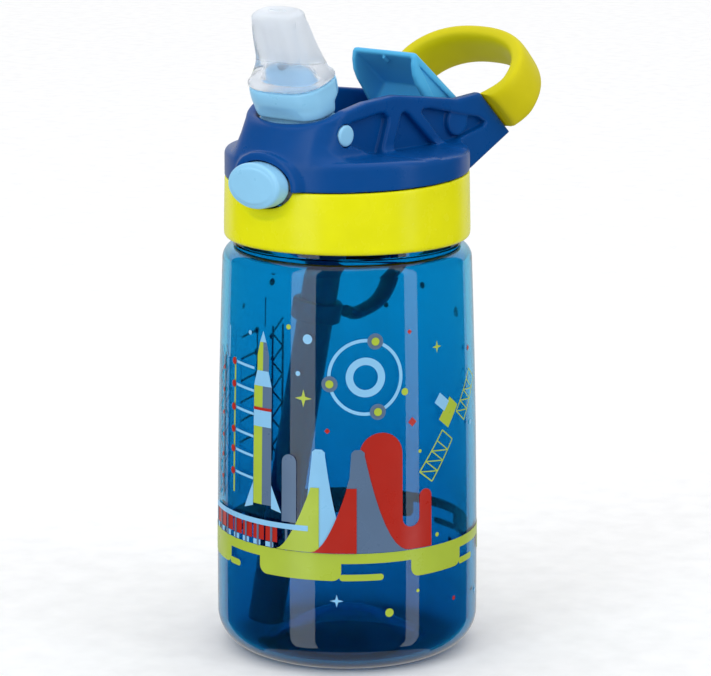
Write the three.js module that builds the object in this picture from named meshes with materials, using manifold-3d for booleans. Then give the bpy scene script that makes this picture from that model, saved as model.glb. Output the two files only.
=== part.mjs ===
// A child's drinking bottle with a flip-up spout, in millimetres, +Z up.
// Inside the model group the bottle's axis is the Z axis, the button faces -Y
// and the carrying loop is at +Y. The spout stands up and the hood is open.
import * as THREE from 'three';
import { mergeVertices } from 'three/addons/utils/BufferGeometryUtils.js';
import Module from 'manifold-3d';

const wasm = await Module();
wasm.setup();

// ---------------------------------------------------------------- driving dimensions
const GAP = 0.3;                  // between pieces that touch
const AXIS_Y = -13.56;            // the bottle's axis, in front of the middle of the whole object

const BODY_RADIUS = 36.5;         // widest, just above the foot
const BODY_TAPER = 2.0;           // how much narrower the body is under its shoulder
const BODY_WALL = 1.9;
const FOOT_RADIUS = 10;           // rounding between the body and its standing ring
const RING_WIDTH = 4;             // flat width of the standing ring
const DOME_HEIGHT = 8;            // rise of the dome under the body
const SHOULDER_Z = 114.5;
const SHOULDER_ROUND = 4.5;
const NECK_RADIUS = 31;
const NECK_WALL = 1.8;
const NECK_TOP_Z = 128.5;
const THREAD_HEIGHT = 0.9;
const THREAD_PITCH = 4;

const COLLAR_BOTTOM_Z = SHOULDER_Z + 1.6;
const COLLAR_RADIUS = 34;
const COLLAR_TOP_RADIUS = 33.6;
const COLLAR_BORE = NECK_RADIUS + THREAD_HEIGHT + GAP;
const SEAM_Z = 133.7;             // top of the collar, at the axis
const SEAM_SLOPE = 0.033;         // the seam rises towards the loop

const DECK_Z = 130.6;             // underside of the deck that closes the neck
const DECK_THICK = 2;
const DECK_RADIUS = COLLAR_BORE - GAP;
const PLUG_RADIUS = NECK_RADIUS - NECK_WALL - 0.4;
const PLUG_WALL = 1.5;
const PLUG_BOTTOM_Z = 121.5;

const SKIRT_RADIUS = 33.7;
const SKIRT_BORE = 31.7;
const FLOOR_BOTTOM_Z = 135.8;     // floor of the well that the spout folds into
const FLOOR_Z = 137.2;
const LEDGE_Z = 140.5;            // shoulder of the shell outside its two walls
const WALL_X = 17;                // outside of the two walls
const WELL_X = 13.6;              // inside of the two walls
const POCKET_X = 14.7;            // bottom of the pockets in the walls
const NOSE_RADIUS = 33.3;         // cone round the front of the spout, at the ledge
const NOSE_TOP_RADIUS = 29.2;     // where the cone turns upright
const NOSE_TOP_Z = 150.2;
const NOSE_WALL = 2.2;
const SILL = { y: -28.4, z: 143 };   // the well stops short of the button below this height

const SPOUT_PIVOT = { y: -18.9, z: 147.2 };
const SPOUT_LEAN = 15;            // degrees forward of upright
const SPOUT_HUB_RADIUS = 6;
const SPOUT_HUB_X = 10.2;
const TRUNNION_RADIUS = 2.95;
const DRINK_BORE = 2.4;
const TOOTH_X = 9.2;              // the two catch teeth on the spout's hub
const TOOTH_RADIUS = 7.6;
const TOOTH_WIDTH = 1.8;

const COVER_PIVOT = { y: 28, z: 146.5 };
const COVER_OPEN = 38;            // degrees back from closed
const COVER_WIDTH = 23.6;
const COVER_WALL = 1.6;
const COVER_PIN_RADIUS = 1.6;

const BUTTON_Z = 134.15;
const BUTTON_WIDTH = 18.6;
const BUTTON_HEIGHT = 12.4;
const BUTTON_FACE_Y = -38.4;
const BUTTON_BACK_Y = -32.9;
const BUTTON_HOLLOW = 33.75;      // the button's back follows the neck, at this radius
const BUTTON_TRAVEL = 2.4;
const LATCH_Z = 132.9;
const LATCH_TOP_Z = 135.5;
const BUTTON_SPRING = { radius: 1.1, wire: 0.3, z: 134.2, turns: 3 };
const HOOK_TOP_Z = 140.15;
const HOOK_Y = -15.3;

const STRAW_RADIUS = 5;
const STRAW_WALL = 0.9;
const STRAW_TOP = new THREE.Vector3(0, -5.4, 125);
const STRAW_FOOT = new THREE.Vector3(-17.2, -15.5, 6);

const LOOP_ROOT = { y: 42.5, z: 146.9 };   // middle of the loop where it leaves the arms
const LOOP_RISE = 43.7;           // degrees, the way the loop leaves the arms
const LOOP_LENGTH = 26.8;
const LOOP_ROOT_X = 18.2;         // half its span at the arms, outside
const LOOP_CROWN_X = 23.5;        // half its span where it is widest
const LOOP_LEG = 8.4;             // how far up it is widest
const LOOP_ROOT_WIDTH = 14.8;
const LOOP_CROWN_WIDTH = 12.8;
const LOOP_THICK = 5;

// ---------------------------------------------------------------- colours
const BLUE = { color: 0x11518f, roughness: 0.42, metalness: 0 };
const LIME = { color: 0xe8e600, roughness: 0.22, metalness: 0 };
const SOFT_LIME = { color: 0xd2c800, roughness: 0.6, metalness: 0 };
const PALE_BLUE = { color: 0x8ecaf0, roughness: 0.35, metalness: 0 };
const TINTED = { color: 0x1478b8, roughness: 0.08, metalness: 0, transparent: true, opacity: 0.45 };
const SILICONE = { color: 0xdfe8f5, roughness: 0.5, metalness: 0, transparent: true, opacity: 0.8 };
const STRAW_BLUE = { color: 0x0c2f66, roughness: 0.4, metalness: 0 };
const STEEL = { color: 0xb8bcc0, roughness: 0.3, metalness: 1 };
const WHITE = { color: 0xd8dde2, roughness: 0.5, metalness: 0 };

// ---------------------------------------------------------------- solids
const rad = THREE.MathUtils.degToRad;

// Turns a closed geometry into a solid, with its faces out.
function solid(geometry) {
  const bare = geometry.clone();
  bare.deleteAttribute('normal');
  bare.deleteAttribute('uv');
  const merged = mergeVertices(bare, 1e-4);
  const at = merged.attributes.position;
  const corners = [new THREE.Vector3(), new THREE.Vector3(), new THREE.Vector3()];
  const triangles = [];
  let volume = 0;
  for (let i = 0; i < merged.index.count; i += 3) {
    const [a, b, c] = [0, 1, 2].map((k) => merged.index.getX(i + k));
    if (a === b || b === c || a === c) continue;
    triangles.push([a, b, c]);
    [a, b, c].forEach((vertex, k) => corners[k].fromBufferAttribute(at, vertex));
    volume += corners[0].dot(corners[1].cross(corners[2]));
  }
  if (volume < 0) triangles.forEach((triangle) => triangle.reverse());
  return new wasm.Manifold(new wasm.Mesh({
    numProp: 3,
    vertProperties: new Float32Array(at.array),
    triVerts: new Uint32Array(triangles.flat()),
  }));
}

function geometryOf(shape) {
  const mesh = shape.getMesh();
  const geometry = new THREE.BufferGeometry();
  geometry.setAttribute('position', new THREE.BufferAttribute(mesh.vertProperties, 3));
  geometry.setIndex(new THREE.BufferAttribute(mesh.triVerts, 1));
  geometry.computeVertexNormals();
  return geometry;
}

const join = (...shapes) => shapes.reduce((all, shape) => all.add(shape));
const cut = (shape, ...tools) => tools.reduce((rest, tool) => rest.subtract(tool), shape);
const mirrored = (make) => join(make(1), make(-1));

function arc(x, z, radius, from, to, steps) {
  const points = [];
  for (let i = 0; i <= steps; i += 1) {
    const angle = rad(from + ((to - from) * i) / steps);
    points.push([x + radius * Math.cos(angle), z + radius * Math.sin(angle)]);
  }
  return points;
}

// A profile of [radius, z] points turned about Z. It closes on itself or runs from axis to axis.
function turned(profile, segments = 48) {
  const onAxis = profile[0][0] === 0;
  const points = (onAxis ? profile : [...profile, profile[0]]).map(([r, z]) => new THREE.Vector2(r, z));
  return solid(new THREE.LatheGeometry(points, segments).rotateX(Math.PI / 2));
}

const tubeZ = (inner, outer, bottom, top, segments = 48) =>
  turned([[inner, bottom], [outer, bottom], [outer, top], [inner, top]], segments);

function rodZ(radius, bottom, top, segments = 24) {
  const rod = new THREE.CylinderGeometry(radius, radius, top - bottom, segments);
  return solid(rod.rotateX(Math.PI / 2).translate(0, 0, (top + bottom) / 2));
}

function rodX(radius, from, to, y, z, segments = 24) {
  const rod = new THREE.CylinderGeometry(radius, radius, to - from, segments);
  return solid(rod.rotateZ(Math.PI / 2).translate((from + to) / 2, y, z));
}

// An oval rod along Y.
function ovalY(width, height, from, to, z, segments = 36) {
  const rod = new THREE.CylinderGeometry(1, 1, to - from, segments);
  return solid(rod.scale(width / 2, 1, height / 2).translate(0, (from + to) / 2, z));
}

function box(x0, x1, y0, y1, z0, z1) {
  const block = new THREE.BoxGeometry(x1 - x0, y1 - y0, z1 - z0);
  return solid(block.translate((x0 + x1) / 2, (y0 + y1) / 2, (z0 + z1) / 2));
}

// An outline of [y, z] points, drawn out along X.
function prismX(outline, from, to) {
  const shape = new THREE.Shape(outline.map(([y, z]) => new THREE.Vector2(y, z)));
  const block = new THREE.ExtrudeGeometry(shape, { depth: to - from, bevelEnabled: false });
  const axes = new THREE.Matrix4().makeBasis(
    new THREE.Vector3(0, 1, 0), new THREE.Vector3(0, 0, 1), new THREE.Vector3(1, 0, 0));
  return solid(block.applyMatrix4(axes).translate(from, 0, 0));
}

// A row of rings of points, skinned and closed at both ends. Every ring is convex.
function skinned(rings) {
  const count = rings[0].length;
  const middle = (ring) =>
    ring.reduce((sum, point) => sum.add(point), new THREE.Vector3()).divideScalar(count);
  const points = [...rings.flat(), middle(rings[0]), middle(rings.at(-1))];
  const index = [];
  for (let row = 0; row + 1 < rings.length; row += 1) {
    for (let i = 0; i < count; i += 1) {
      const a = row * count + i;
      const b = row * count + ((i + 1) % count);
      index.push(a, b, b + count, a, b + count, a + count);
    }
  }
  const last = (rings.length - 1) * count;
  for (let i = 0; i < count; i += 1) {
    const next = (i + 1) % count;
    index.push(points.length - 2, next, i, points.length - 1, last + i, last + next);
  }
  const geometry = new THREE.BufferGeometry().setFromPoints(points);
  geometry.setIndex(index);
  return solid(geometry);
}

const squared = (value, squareness) => Math.sign(value) * Math.abs(value) ** (2 / squareness);

// A rounded rectangle of points round the Z axis. A squareness of 2 is an ellipse.
function ring(width, thick, z, squareness = 2.8, steps = 24, front = thick / 2, back = thick / 2) {
  return Array.from({ length: steps }, (unused, i) => {
    const angle = (2 * Math.PI * (i + 0.5)) / steps;
    const across = squared(Math.sin(angle), squareness);
    const y = across * (across < 0 ? front : back);
    return new THREE.Vector3((width / 2) * squared(Math.cos(angle), squareness), y, z);
  });
}

class Path extends THREE.Curve {
  constructor(pointAt) {
    super();
    this.pointAt = pointAt;
  }

  getPoint(t, target = new THREE.Vector3()) {
    return target.copy(this.pointAt(t));
  }
}

// A round wire or tube along a path. A circle's outline has two sides to each curve segment.
function wire(path, radius, steps, sides, halfWidth = radius) {
  const section = new THREE.Shape();
  section.absellipse(0, 0, halfWidth, radius, 0, 2 * Math.PI, false, 0);
  return solid(new THREE.ExtrudeGeometry(section, { steps, extrudePath: path, curveSegments: sides / 2 }));
}

const COIL_STEPS = 10;             // to each turn of a spring

// A coil about the X axis.
function coilX(radius, wireRadius, from, to, turns) {
  const path = new Path((t) => {
    const angle = 2 * Math.PI * turns * t;
    return new THREE.Vector3(from + (to - from) * t, radius * Math.sin(angle), radius * Math.cos(angle));
  });
  return wire(path, wireRadius, Math.round(turns * COIL_STEPS), 6);
}

// Everything below a plane that rises along Y.
function belowPlane(zAtAxis, slope) {
  const reach = 90;
  return prismX([
    [-reach, zAtAxis - reach], [reach, zAtAxis - reach],
    [reach, zAtAxis + slope * reach], [-reach, zAtAxis - slope * reach],
  ], -reach, reach);
}

// ---------------------------------------------------------------- scene graph
const model = new THREE.Group();
model.position.y = AXIS_Y;

function add(name, look, shape, parent = model) {
  const mesh = new THREE.Mesh(geometryOf(shape), new THREE.MeshStandardMaterial(look));
  mesh.name = name;
  parent.add(mesh);
  return mesh;
}

// ---------------------------------------------------------------- bottle
const barrelTop = SHOULDER_Z - SHOULDER_ROUND;

function barrelRadius(z) {
  const along = Math.max(0, (z - FOOT_RADIUS) / (barrelTop - FOOT_RADIUS));
  return BODY_RADIUS - BODY_TAPER * along ** 2;
}

// One side of the bottle's wall, from the middle of the base up to the neck.
function bottleProfile(inset) {
  const ringOut = BODY_RADIUS - FOOT_RADIUS;
  const ringIn = ringOut - RING_WIDTH;
  const points = [];
  const domeSteps = 4;
  for (let i = 0; i <= domeSteps; i += 1) {
    const r = (ringIn * i) / domeSteps;
    points.push([r, inset + DOME_HEIGHT * (1 - (r / ringIn) ** 2)]);
  }
  points.push(...arc(ringOut, FOOT_RADIUS, FOOT_RADIUS - inset, -90, 0, 5));
  const barrelSteps = 5;
  for (let i = 1; i <= barrelSteps; i += 1) {
    const z = FOOT_RADIUS + ((barrelTop - FOOT_RADIUS) * i) / barrelSteps;
    points.push([barrelRadius(z) - inset, z]);
  }
  const shoulderRadius = barrelRadius(barrelTop) - SHOULDER_ROUND;
  points.push(...arc(shoulderRadius, barrelTop, SHOULDER_ROUND - inset, 0, 60, 3).slice(1));
  return points;
}

function bottle() {
  const bore = NECK_RADIUS - NECK_WALL;
  const outside = [...bottleProfile(0), [NECK_RADIUS, SHOULDER_Z], [NECK_RADIUS, NECK_TOP_Z]];
  const inside = [...bottleProfile(BODY_WALL), [bore, SHOULDER_Z - BODY_WALL], [bore, NECK_TOP_Z]];
  const shell = turned([...outside, ...inside.reverse()], 36);
  const turns = 1.25;
  const thread = wire(new Path((t) => {
    const angle = 2 * Math.PI * turns * t;
    return new THREE.Vector3(
      NECK_RADIUS * Math.cos(angle), NECK_RADIUS * Math.sin(angle), NECK_TOP_Z - 4 - THREAD_PITCH * turns * t);
  }), THREAD_HEIGHT, 28, 6);
  return join(shell, thread);
}

add('bottle_body', TINTED, bottle());

// ---------------------------------------------------------------- lid: collar, deck and seals
const buttonHole = () =>
  ovalY(BUTTON_WIDTH + 2 * GAP, BUTTON_HEIGHT + 2 * GAP, -60, -SKIRT_BORE + 1.5, BUTTON_Z);

function collar() {
  const chamfer = 0.6;
  const blank = turned([
    [COLLAR_BORE, COLLAR_BOTTOM_Z], [COLLAR_RADIUS - chamfer, COLLAR_BOTTOM_Z],
    [COLLAR_RADIUS, COLLAR_BOTTOM_Z + chamfer], [COLLAR_RADIUS, 120],
    [COLLAR_TOP_RADIUS, 137], [COLLAR_BORE, 137],
  ], 64);
  const scoop = ovalY(24, 19.6, -60, -COLLAR_RADIUS + 1.1, BUTTON_Z + 0.4);
  return cut(blank.intersect(belowPlane(SEAM_Z, SEAM_SLOPE)), scoop, buttonHole());
}

add('lid_collar', LIME, collar());

const CHANNEL = { x: 5, front: SPOUT_PIVOT.y - 4.4, back: -0.5, z: 134.3, plateTop: 135.5 };
const VENT_Y = 14;
const VENT_HOLE = 1.5;

// Axis of the straw: a group whose own Z axis runs up the straw from its foot.
const strawLength = STRAW_TOP.distanceTo(STRAW_FOOT);
const strawAxis = new THREE.Group();
strawAxis.position.copy(STRAW_FOOT);
strawAxis.quaternion.setFromUnitVectors(
  new THREE.Vector3(0, 0, 1), STRAW_TOP.clone().sub(STRAW_FOOT).normalize());
strawAxis.updateMatrix();
model.add(strawAxis);

// A shape drawn on the straw's axis, moved to where the lid is drawn.
const alongStraw = (shape) => shape.transform(strawAxis.matrix.toArray());

function innerLid() {
  const deckTop = DECK_Z + DECK_THICK;
  const blank = join(
    rodZ(DECK_RADIUS, DECK_Z, deckTop, 48),
    tubeZ(PLUG_RADIUS - PLUG_WALL, PLUG_RADIUS, PLUG_BOTTOM_Z, DECK_Z + 0.5),
    box(-CHANNEL.x, CHANNEL.x, CHANNEL.front, CHANNEL.back, deckTop - 0.5, CHANNEL.z),
  );
  const stemRadius = STRAW_RADIUS - STRAW_WALL - GAP;
  const stem = alongStraw(rodZ(stemRadius, strawLength - 9, strawLength + 6.5));
  const bore = alongStraw(rodZ(DRINK_BORE, strawLength - 12, strawLength + 9.5));
  const channelWall = 1.6;
  const channel = box(
    -CHANNEL.x + channelWall, CHANNEL.x - channelWall,
    CHANNEL.front + channelWall, CHANNEL.back - channelWall, deckTop - 0.4, CHANNEL.z + 1);
  const buttonRoom = box(-11, 11, -40, BUTTON_BACK_Y + BUTTON_TRAVEL + 2 * GAP, DECK_Z - 1, deckTop + 1);
  const vent = rodZ(VENT_HOLE, DECK_Z - 1, deckTop + 1, 16).translate([0, VENT_Y, 0]);
  return cut(join(blank, stem), bore, channel, buttonRoom, vent);
}

add('inner_lid', WHITE, innerLid());

function channelCover() {
  const plate = box(-CHANNEL.x, CHANNEL.x, CHANNEL.front, CHANNEL.back, CHANNEL.z + GAP, CHANNEL.plateTop);
  return cut(plate, rodZ(DRINK_BORE, CHANNEL.z, CHANNEL.plateTop + 1).translate([0, SPOUT_PIVOT.y, 0]));
}

add('channel_cover', WHITE, channelCover());
add('lid_gasket', SILICONE, tubeZ(PLUG_RADIUS + GAP, NECK_RADIUS, NECK_TOP_Z + GAP, DECK_Z - GAP));

function ventValve() {
  const capBottom = DECK_Z - 1.4;
  const bulbTop = DECK_Z + DECK_THICK + 1.5;
  return turned([
    [0, capBottom], [3, capBottom], [4, DECK_Z - GAP], [1.2, DECK_Z - GAP],
    [1.2, bulbTop - 1.2], [1.8, bulbTop - 1.1], [1, bulbTop], [0, bulbTop],
  ], 20);
}

add('vent_valve', SILICONE, ventValve()).position.y = VENT_Y;

// ---------------------------------------------------------------- lid: shell
// The walls' side view, as [y, z] points. The arms' slanted ends carry the loop.
const ARM_END = [[37, 153.4], [50.4, 141]];
const WALL_OUTLINE = [
  [-34, 147], [-29.3, 149.4], [-24, 151.6], [-19, 153.8], [-10.6, 155.4], [0.8, 156.2], [3.4, 155.9],
  [13.6, 154.6], [27.3, 152.7], ...ARM_END, [44.9, 138.3], [36.8, 134.3],
  [33, 132.4], [28, 134], [-34, 134],
];

// The truss-like pockets in the walls.
const POCKETS = [
  [[-17.1, 150.4], [-5.5, 151.9], [-3.5, 151.7], [-2, 150.4], [-2.1, 148.8], [-5, 140.8], [-8.3, 141.2],
    [-16.5, 144.3]],
  [[4.8, 151.2], [6.6, 150.4], [17.3, 141], [14.9, 140.6], [1.4, 140.7], [0.2, 141.5], [3.4, 150.8]],
  [[12.4, 151.2], [15.4, 151.1], [36.5, 146.6], [39.3, 145], [38.4, 143.9], [25.7, 141], [22, 141],
    [20.8, 141.8], [11.9, 150.5]],
];

// Keeps a shape inside the nose in front of the axis, inset from its outside.
function insideNose(shape, inset) {
  const nose = turned([
    [0, 130], [NOSE_RADIUS - inset, 130], [NOSE_RADIUS - inset, LEDGE_Z],
    [NOSE_TOP_RADIUS - inset, NOSE_TOP_Z], [NOSE_TOP_RADIUS - inset, 170], [0, 170],
  ], 64);
  const front = box(-60, 60, -60, 0, 100, 200);
  return join(cut(shape, front), shape.intersect(front).intersect(nose));
}

function lidShell() {
  const round = 0.8;
  const skirt = turned([
    [0, 130], [SKIRT_RADIUS, 130], [SKIRT_RADIUS, LEDGE_Z - round], [SKIRT_RADIUS - round, LEDGE_Z], [0, LEDGE_Z],
  ], 64);
  const surround = ovalY(BUTTON_WIDTH + 5, BUTTON_HEIGHT + 5, -60, -SKIRT_BORE + 3, BUTTON_Z, 48)
    .intersect(rodZ(SKIRT_RADIUS + 1.2, 130, 160, 64));
  const belowSeam = belowPlane(SEAM_Z + GAP, SEAM_SLOPE);
  const walls = insideNose(prismX(WALL_OUTLINE, -WALL_X, WALL_X), 0);
  const wellOutline = [
    [-40, FLOOR_Z], [31, FLOOR_Z], [44, 140.6], [60, 144.8], [60, 170], [-40, 170],
  ];
  const sill = box(-60, 60, -60, SILL.y, 130, SILL.z);
  const well = cut(insideNose(prismX(wellOutline, -WELL_X, WELL_X), NOSE_WALL), sill);
  const cavity = rodZ(SKIRT_BORE, 120, FLOOR_BOTTOM_Z, 64);
  const collarRoom = rodZ(COLLAR_RADIUS + GAP, 100, 150, 64).intersect(belowSeam);
  const pocket = (side) => join(...POCKETS.map((outline) =>
    prismX(outline, side > 0 ? POCKET_X : -WALL_X - 1, side > 0 ? WALL_X + 1 : -POCKET_X)));
  const trunnionHole = rodX(TRUNNION_RADIUS + GAP, -WALL_X - 1, WALL_X + 1, SPOUT_PIVOT.y, SPOUT_PIVOT.z, 24);
  const pinReach = WELL_X + 1.7;
  const pinHole = rodX(COVER_PIN_RADIUS + GAP, -pinReach - GAP, pinReach + GAP, COVER_PIVOT.y, COVER_PIVOT.z);
  const pinBoss = (side) => rodX(4.3, ...[side * (POCKET_X - 0.5), side * 16.3].sort((a, b) => a - b),
    COVER_PIVOT.y, COVER_PIVOT.z);
  const hookSlot = (side) => box(
    ...[side * (TOOTH_X - 1.3), side * (TOOTH_X + 1.3)].sort((a, b) => a - b),
    HOOK_Y - 0.5, HOOK_Y + 1.8 + BUTTON_TRAVEL + 0.5, FLOOR_BOTTOM_Z - 1, FLOOR_Z + 1);
  const sealHole = rodZ(5, FLOOR_BOTTOM_Z - 1, FLOOR_Z + 1).translate([0, SPOUT_PIVOT.y, 0]);
  const vent = rodZ(VENT_HOLE, FLOOR_BOTTOM_Z - 1, FLOOR_Z + 1, 16).translate([0, VENT_Y, 0]);
  const blank = join(skirt, cut(surround, belowSeam), walls);
  const hollow = cut(blank, well, cavity, collarRoom, mirrored(pocket), buttonHole(),
    trunnionHole, mirrored(hookSlot), sealHole, vent);
  return cut(join(hollow, mirrored(pinBoss), mirrored((side) => loopTongue(side, 0))), pinHole);
}

// Moves a shape drawn with +Z along the loop's rise and +Y across its width to the arms' ends.
function loopRoot(shape) {
  return shape.rotate([LOOP_RISE - 90, 0, 0]).translate([0, LOOP_ROOT.y, LOOP_ROOT.z]);
}

// Half the loop's span, to the middle of its leg, where the leg spreads above the arms.
function legX(height) {
  const rootX = LOOP_ROOT_X - LOOP_THICK / 2;
  const spread = LOOP_CROWN_X - LOOP_ROOT_X;
  return rootX + spread * Math.sin((Math.PI / 2) * THREE.MathUtils.clamp(height / LOOP_LEG, 0, 1));
}

// The tongue of the shell inside one leg of the loop.
function loopTongue(side, grow) {
  const rings = [-5, 0, 1.5, 3, 4.5 + grow].map((height) =>
    ring(1.8 + 2 * grow, 9 + 2 * grow, height, 4, 12).map((point) =>
      point.setX(side * (point.x + legX(height)))));
  return loopRoot(skinned(rings));
}

// Everything on the bottle's side of the arms' slanted ends, and a gap beyond them.
function behindArmEnds() {
  const [top, bottom] = ARM_END.map(([y, z]) => new THREE.Vector2(y, z));
  const along = bottom.clone().sub(top).normalize();
  const out = new THREE.Vector2(-along.y, along.x);
  const corner = (from, slide, lift) =>
    from.clone().addScaledVector(along, slide).addScaledVector(out, lift).toArray();
  return prismX([
    corner(top, -40, GAP), corner(bottom, 40, GAP), corner(bottom, 40, -40), corner(top, -40, -40),
  ], -60, 60);
}

add('lid_shell', BLUE, lidShell());

// ---------------------------------------------------------------- lid: carrying loop
// Drawn with +Z along the loop's rise and +Y across its width.
function carryingLoop() {
  const halfSpan = LOOP_CROWN_X - LOOP_THICK / 2;
  const arch = LOOP_LENGTH - LOOP_THICK / 2 - LOOP_LEG;
  const archSteps = 24;
  const legHeights = [-3, 0, 2, 4, 6];
  const line = legHeights.map((height) => new THREE.Vector2(legX(height), height));
  for (let i = 0; i <= archSteps; i += 1) {
    const angle = (Math.PI * i) / archSteps;
    line.push(new THREE.Vector2(
      halfSpan * squared(Math.cos(angle), 2.3), LOOP_LEG + arch * squared(Math.sin(angle), 2.3)));
  }
  line.push(...legHeights.map((height) => new THREE.Vector2(-legX(height), height)).reverse());
  const rings = line.map((at, i) => {
    const before = line[Math.max(0, i - 1)];
    const after = line[Math.min(line.length - 1, i + 1)];
    const along = after.clone().sub(before).normalize();
    const width = LOOP_ROOT_WIDTH + (LOOP_CROWN_WIDTH - LOOP_ROOT_WIDTH) * (at.y / LOOP_LENGTH);
    return ring(LOOP_THICK, width, 0, 4, 14).map((point) =>
      new THREE.Vector3(at.x + along.y * point.x, point.y, at.y - along.x * point.x));
  });
  return cut(loopRoot(skinned(rings)), behindArmEnds(), mirrored((side) => loopTongue(side, GAP)));
}

add('handle_grip', SOFT_LIME, carryingLoop());

// ---------------------------------------------------------------- spout
const spout = new THREE.Group();
spout.position.set(0, SPOUT_PIVOT.y, SPOUT_PIVOT.z);
spout.rotation.x = rad(SPOUT_LEAN);
model.add(spout);

// Heights, widths and reaches to the front and back up the spout, drawn upright from its pivot.
const SPOUT_RINGS = [
  [5.2, 23.6, 6.6, 6], [7, 24.2, 7.2, 6.3], [8.2, 24.4, 7.4, 6.6], [9.6, 24.6, 7.8, 8.9],
  [12, 24.6, 8.1, 9.6],
  [14, 24.6, 7.8, 9.4], [15.6, 24, 6.9, 8.8], [17, 23, 5.4, 7.9], [19, 21.2, 4.2, 7.5], [21, 19.6, 4.2, 7.2],
  [24, 18.2, 4.8, 6.6], [28, 17.4, 5.1, 5.6], [31.5, 16.6, 5.1, 4.7], [33.4, 15.6, 4.7, 4.3],
  [34.2, 13.6, 3.8, 3.5],
];
const MOUTHPIECE_EDGE = { z: 14.1, slope: 0.06 };   // its lower edge
const CORE_TOP = 19.5;

const spoutOutside = () => skinned(SPOUT_RINGS.map(([z, width, front, back]) =>
  ring(width, 0, z, 2.8, 24, front, back)));

const spoutCore = (grow) => skinned([
  ring(17 + 2 * grow, 7 + 2 * grow, 8), ring(17 + 2 * grow, 7 + 2 * grow, 16),
  ring(14 + 2 * grow, 5.4 + 2 * grow, CORE_TOP + grow),
]);

function spoutBody() {
  const base = spoutOutside().intersect(belowPlane(MOUTHPIECE_EDGE.z - GAP, MOUTHPIECE_EDGE.slope));
  const neck = skinned([ring(2 * SPOUT_HUB_X, 9, 0), ring(2 * SPOUT_HUB_X, 9.8, 5)]);
  const hub = rodX(SPOUT_HUB_RADIUS, -SPOUT_HUB_X, SPOUT_HUB_X, 0, 0, 32);
  const trunnions = rodX(TRUNNION_RADIUS, -WALL_X, WALL_X, 0, 0);
  const tooth = (side) => join(box(
    ...[side * (TOOTH_X - TOOTH_WIDTH / 2), side * (TOOTH_X + TOOTH_WIDTH / 2)].sort((a, b) => a - b),
    0, TOOTH_RADIUS, -0.8, 0.8)).rotate([20, 0, 0]);
  const up = rodZ(DRINK_BORE, 0, CORE_TOP + 2);
  const down = rodZ(DRINK_BORE, -SPOUT_HUB_RADIUS - 1, 0).rotate([-SPOUT_LEAN, 0, 0]);
  return cut(join(base, spoutCore(0), neck, hub, trunnions, mirrored(tooth)), up, down);
}

function mouthpiece() {
  const above = cut(spoutOutside(), belowPlane(MOUTHPIECE_EDGE.z, MOUTHPIECE_EDGE.slope));
  const hollow = skinned([ring(13.6, 5.2, CORE_TOP - 1), ring(13, 4.8, 24), ring(12.2, 4.4, 31.8)]);
  const slit = box(-3, 3, -0.4, 0.4, 31, 36);
  return cut(above, spoutCore(GAP), hollow, slit);
}

add('spout_body', PALE_BLUE, spoutBody(), spout);
add('mouthpiece', SILICONE, mouthpiece(), spout);

const sealTop = SPOUT_PIVOT.z - SPOUT_HUB_RADIUS - GAP;
const spoutSeal = tubeZ(DRINK_BORE, 4.7, CHANNEL.plateTop + GAP, sealTop, 24);
add('spout_seal', SILICONE, spoutSeal).position.y = SPOUT_PIVOT.y;

for (const [name, side] of [['spout_spring_left', -1], ['spout_spring_right', 1]]) {
  const spring = coilX(4.3, 0.3, side * (SPOUT_HUB_X + 0.8), side * (WELL_X - 0.7), 2.25);
  add(name, STEEL, spring).position.set(0, SPOUT_PIVOT.y, SPOUT_PIVOT.z);
}

// ---------------------------------------------------------------- hood over the mouthpiece
const cover = new THREE.Group();
cover.position.set(0, COVER_PIVOT.y, COVER_PIVOT.z);
cover.rotation.x = rad(-COVER_OPEN);
model.add(cover);

// Drawn closed, as [y, z] from its pivot.
function coverShape() {
  const topZ = 7.8;
  const half = COVER_WIDTH / 2;
  const side = [
    [-21.9, 6.4], [-21.9, topZ - 0.6], [-21.3, topZ],
    ...arc(0, 0, topZ, 90, 15, 6), ...arc(0, 0, 4.2, -15, -130, 6),
    [-6.5, -1.6], [-12.6, 0.2], [-15.5, 0.9], [-18.4, 2.2], [-20.7, 4.3],
  ];
  const underPanel = topZ - COVER_WALL;
  const inside = half - COVER_WALL;
  const plateFront = -5.8;
  const plateBack = plateFront + 1.4;
  const mouthRoom = prismX([
    [-30, underPanel], [plateFront, underPanel], [plateFront, -10], [-30, -10],
  ], -inside, inside);
  const springRoom = prismX([
    [plateBack, -10], [plateBack, underPanel - 0.2], ...arc(0, 0, underPanel, 90, 15, 6), [12, 0], [12, -10],
  ], -inside, inside);
  const knuckle = (sign) => rodX(4.2, ...[sign * 6, sign * (half - 0.5)].sort((a, b) => a - b), 0, 0);
  const pinHole = rodX(COVER_PIN_RADIUS + 0.25, -half - 1, half + 1, 0, 0);
  return cut(join(cut(prismX(side, -half, half), mouthRoom, springRoom), mirrored(knuckle)), pinHole);
}

add('spout_cover', PALE_BLUE, coverShape(), cover);

const pinLength = WELL_X + 1.7;
const coverPin = add('cover_pin', STEEL, rodX(COVER_PIN_RADIUS, -pinLength, pinLength, 0, 0, 20));
coverPin.position.set(0, COVER_PIVOT.y, COVER_PIVOT.z);
const coverSpring = add('cover_spring', STEEL, coilX(2.6, 0.45, -4.6, 4.6, 5));
coverSpring.position.set(0, COVER_PIVOT.y, COVER_PIVOT.z);

// ---------------------------------------------------------------- button and latch
const LATCH_PLATE = 2.6;            // thickness
const STEM = { x: 4, bottom: LATCH_Z + 0.4, top: LATCH_TOP_Z - 0.4, back: -29.9 };

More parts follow.
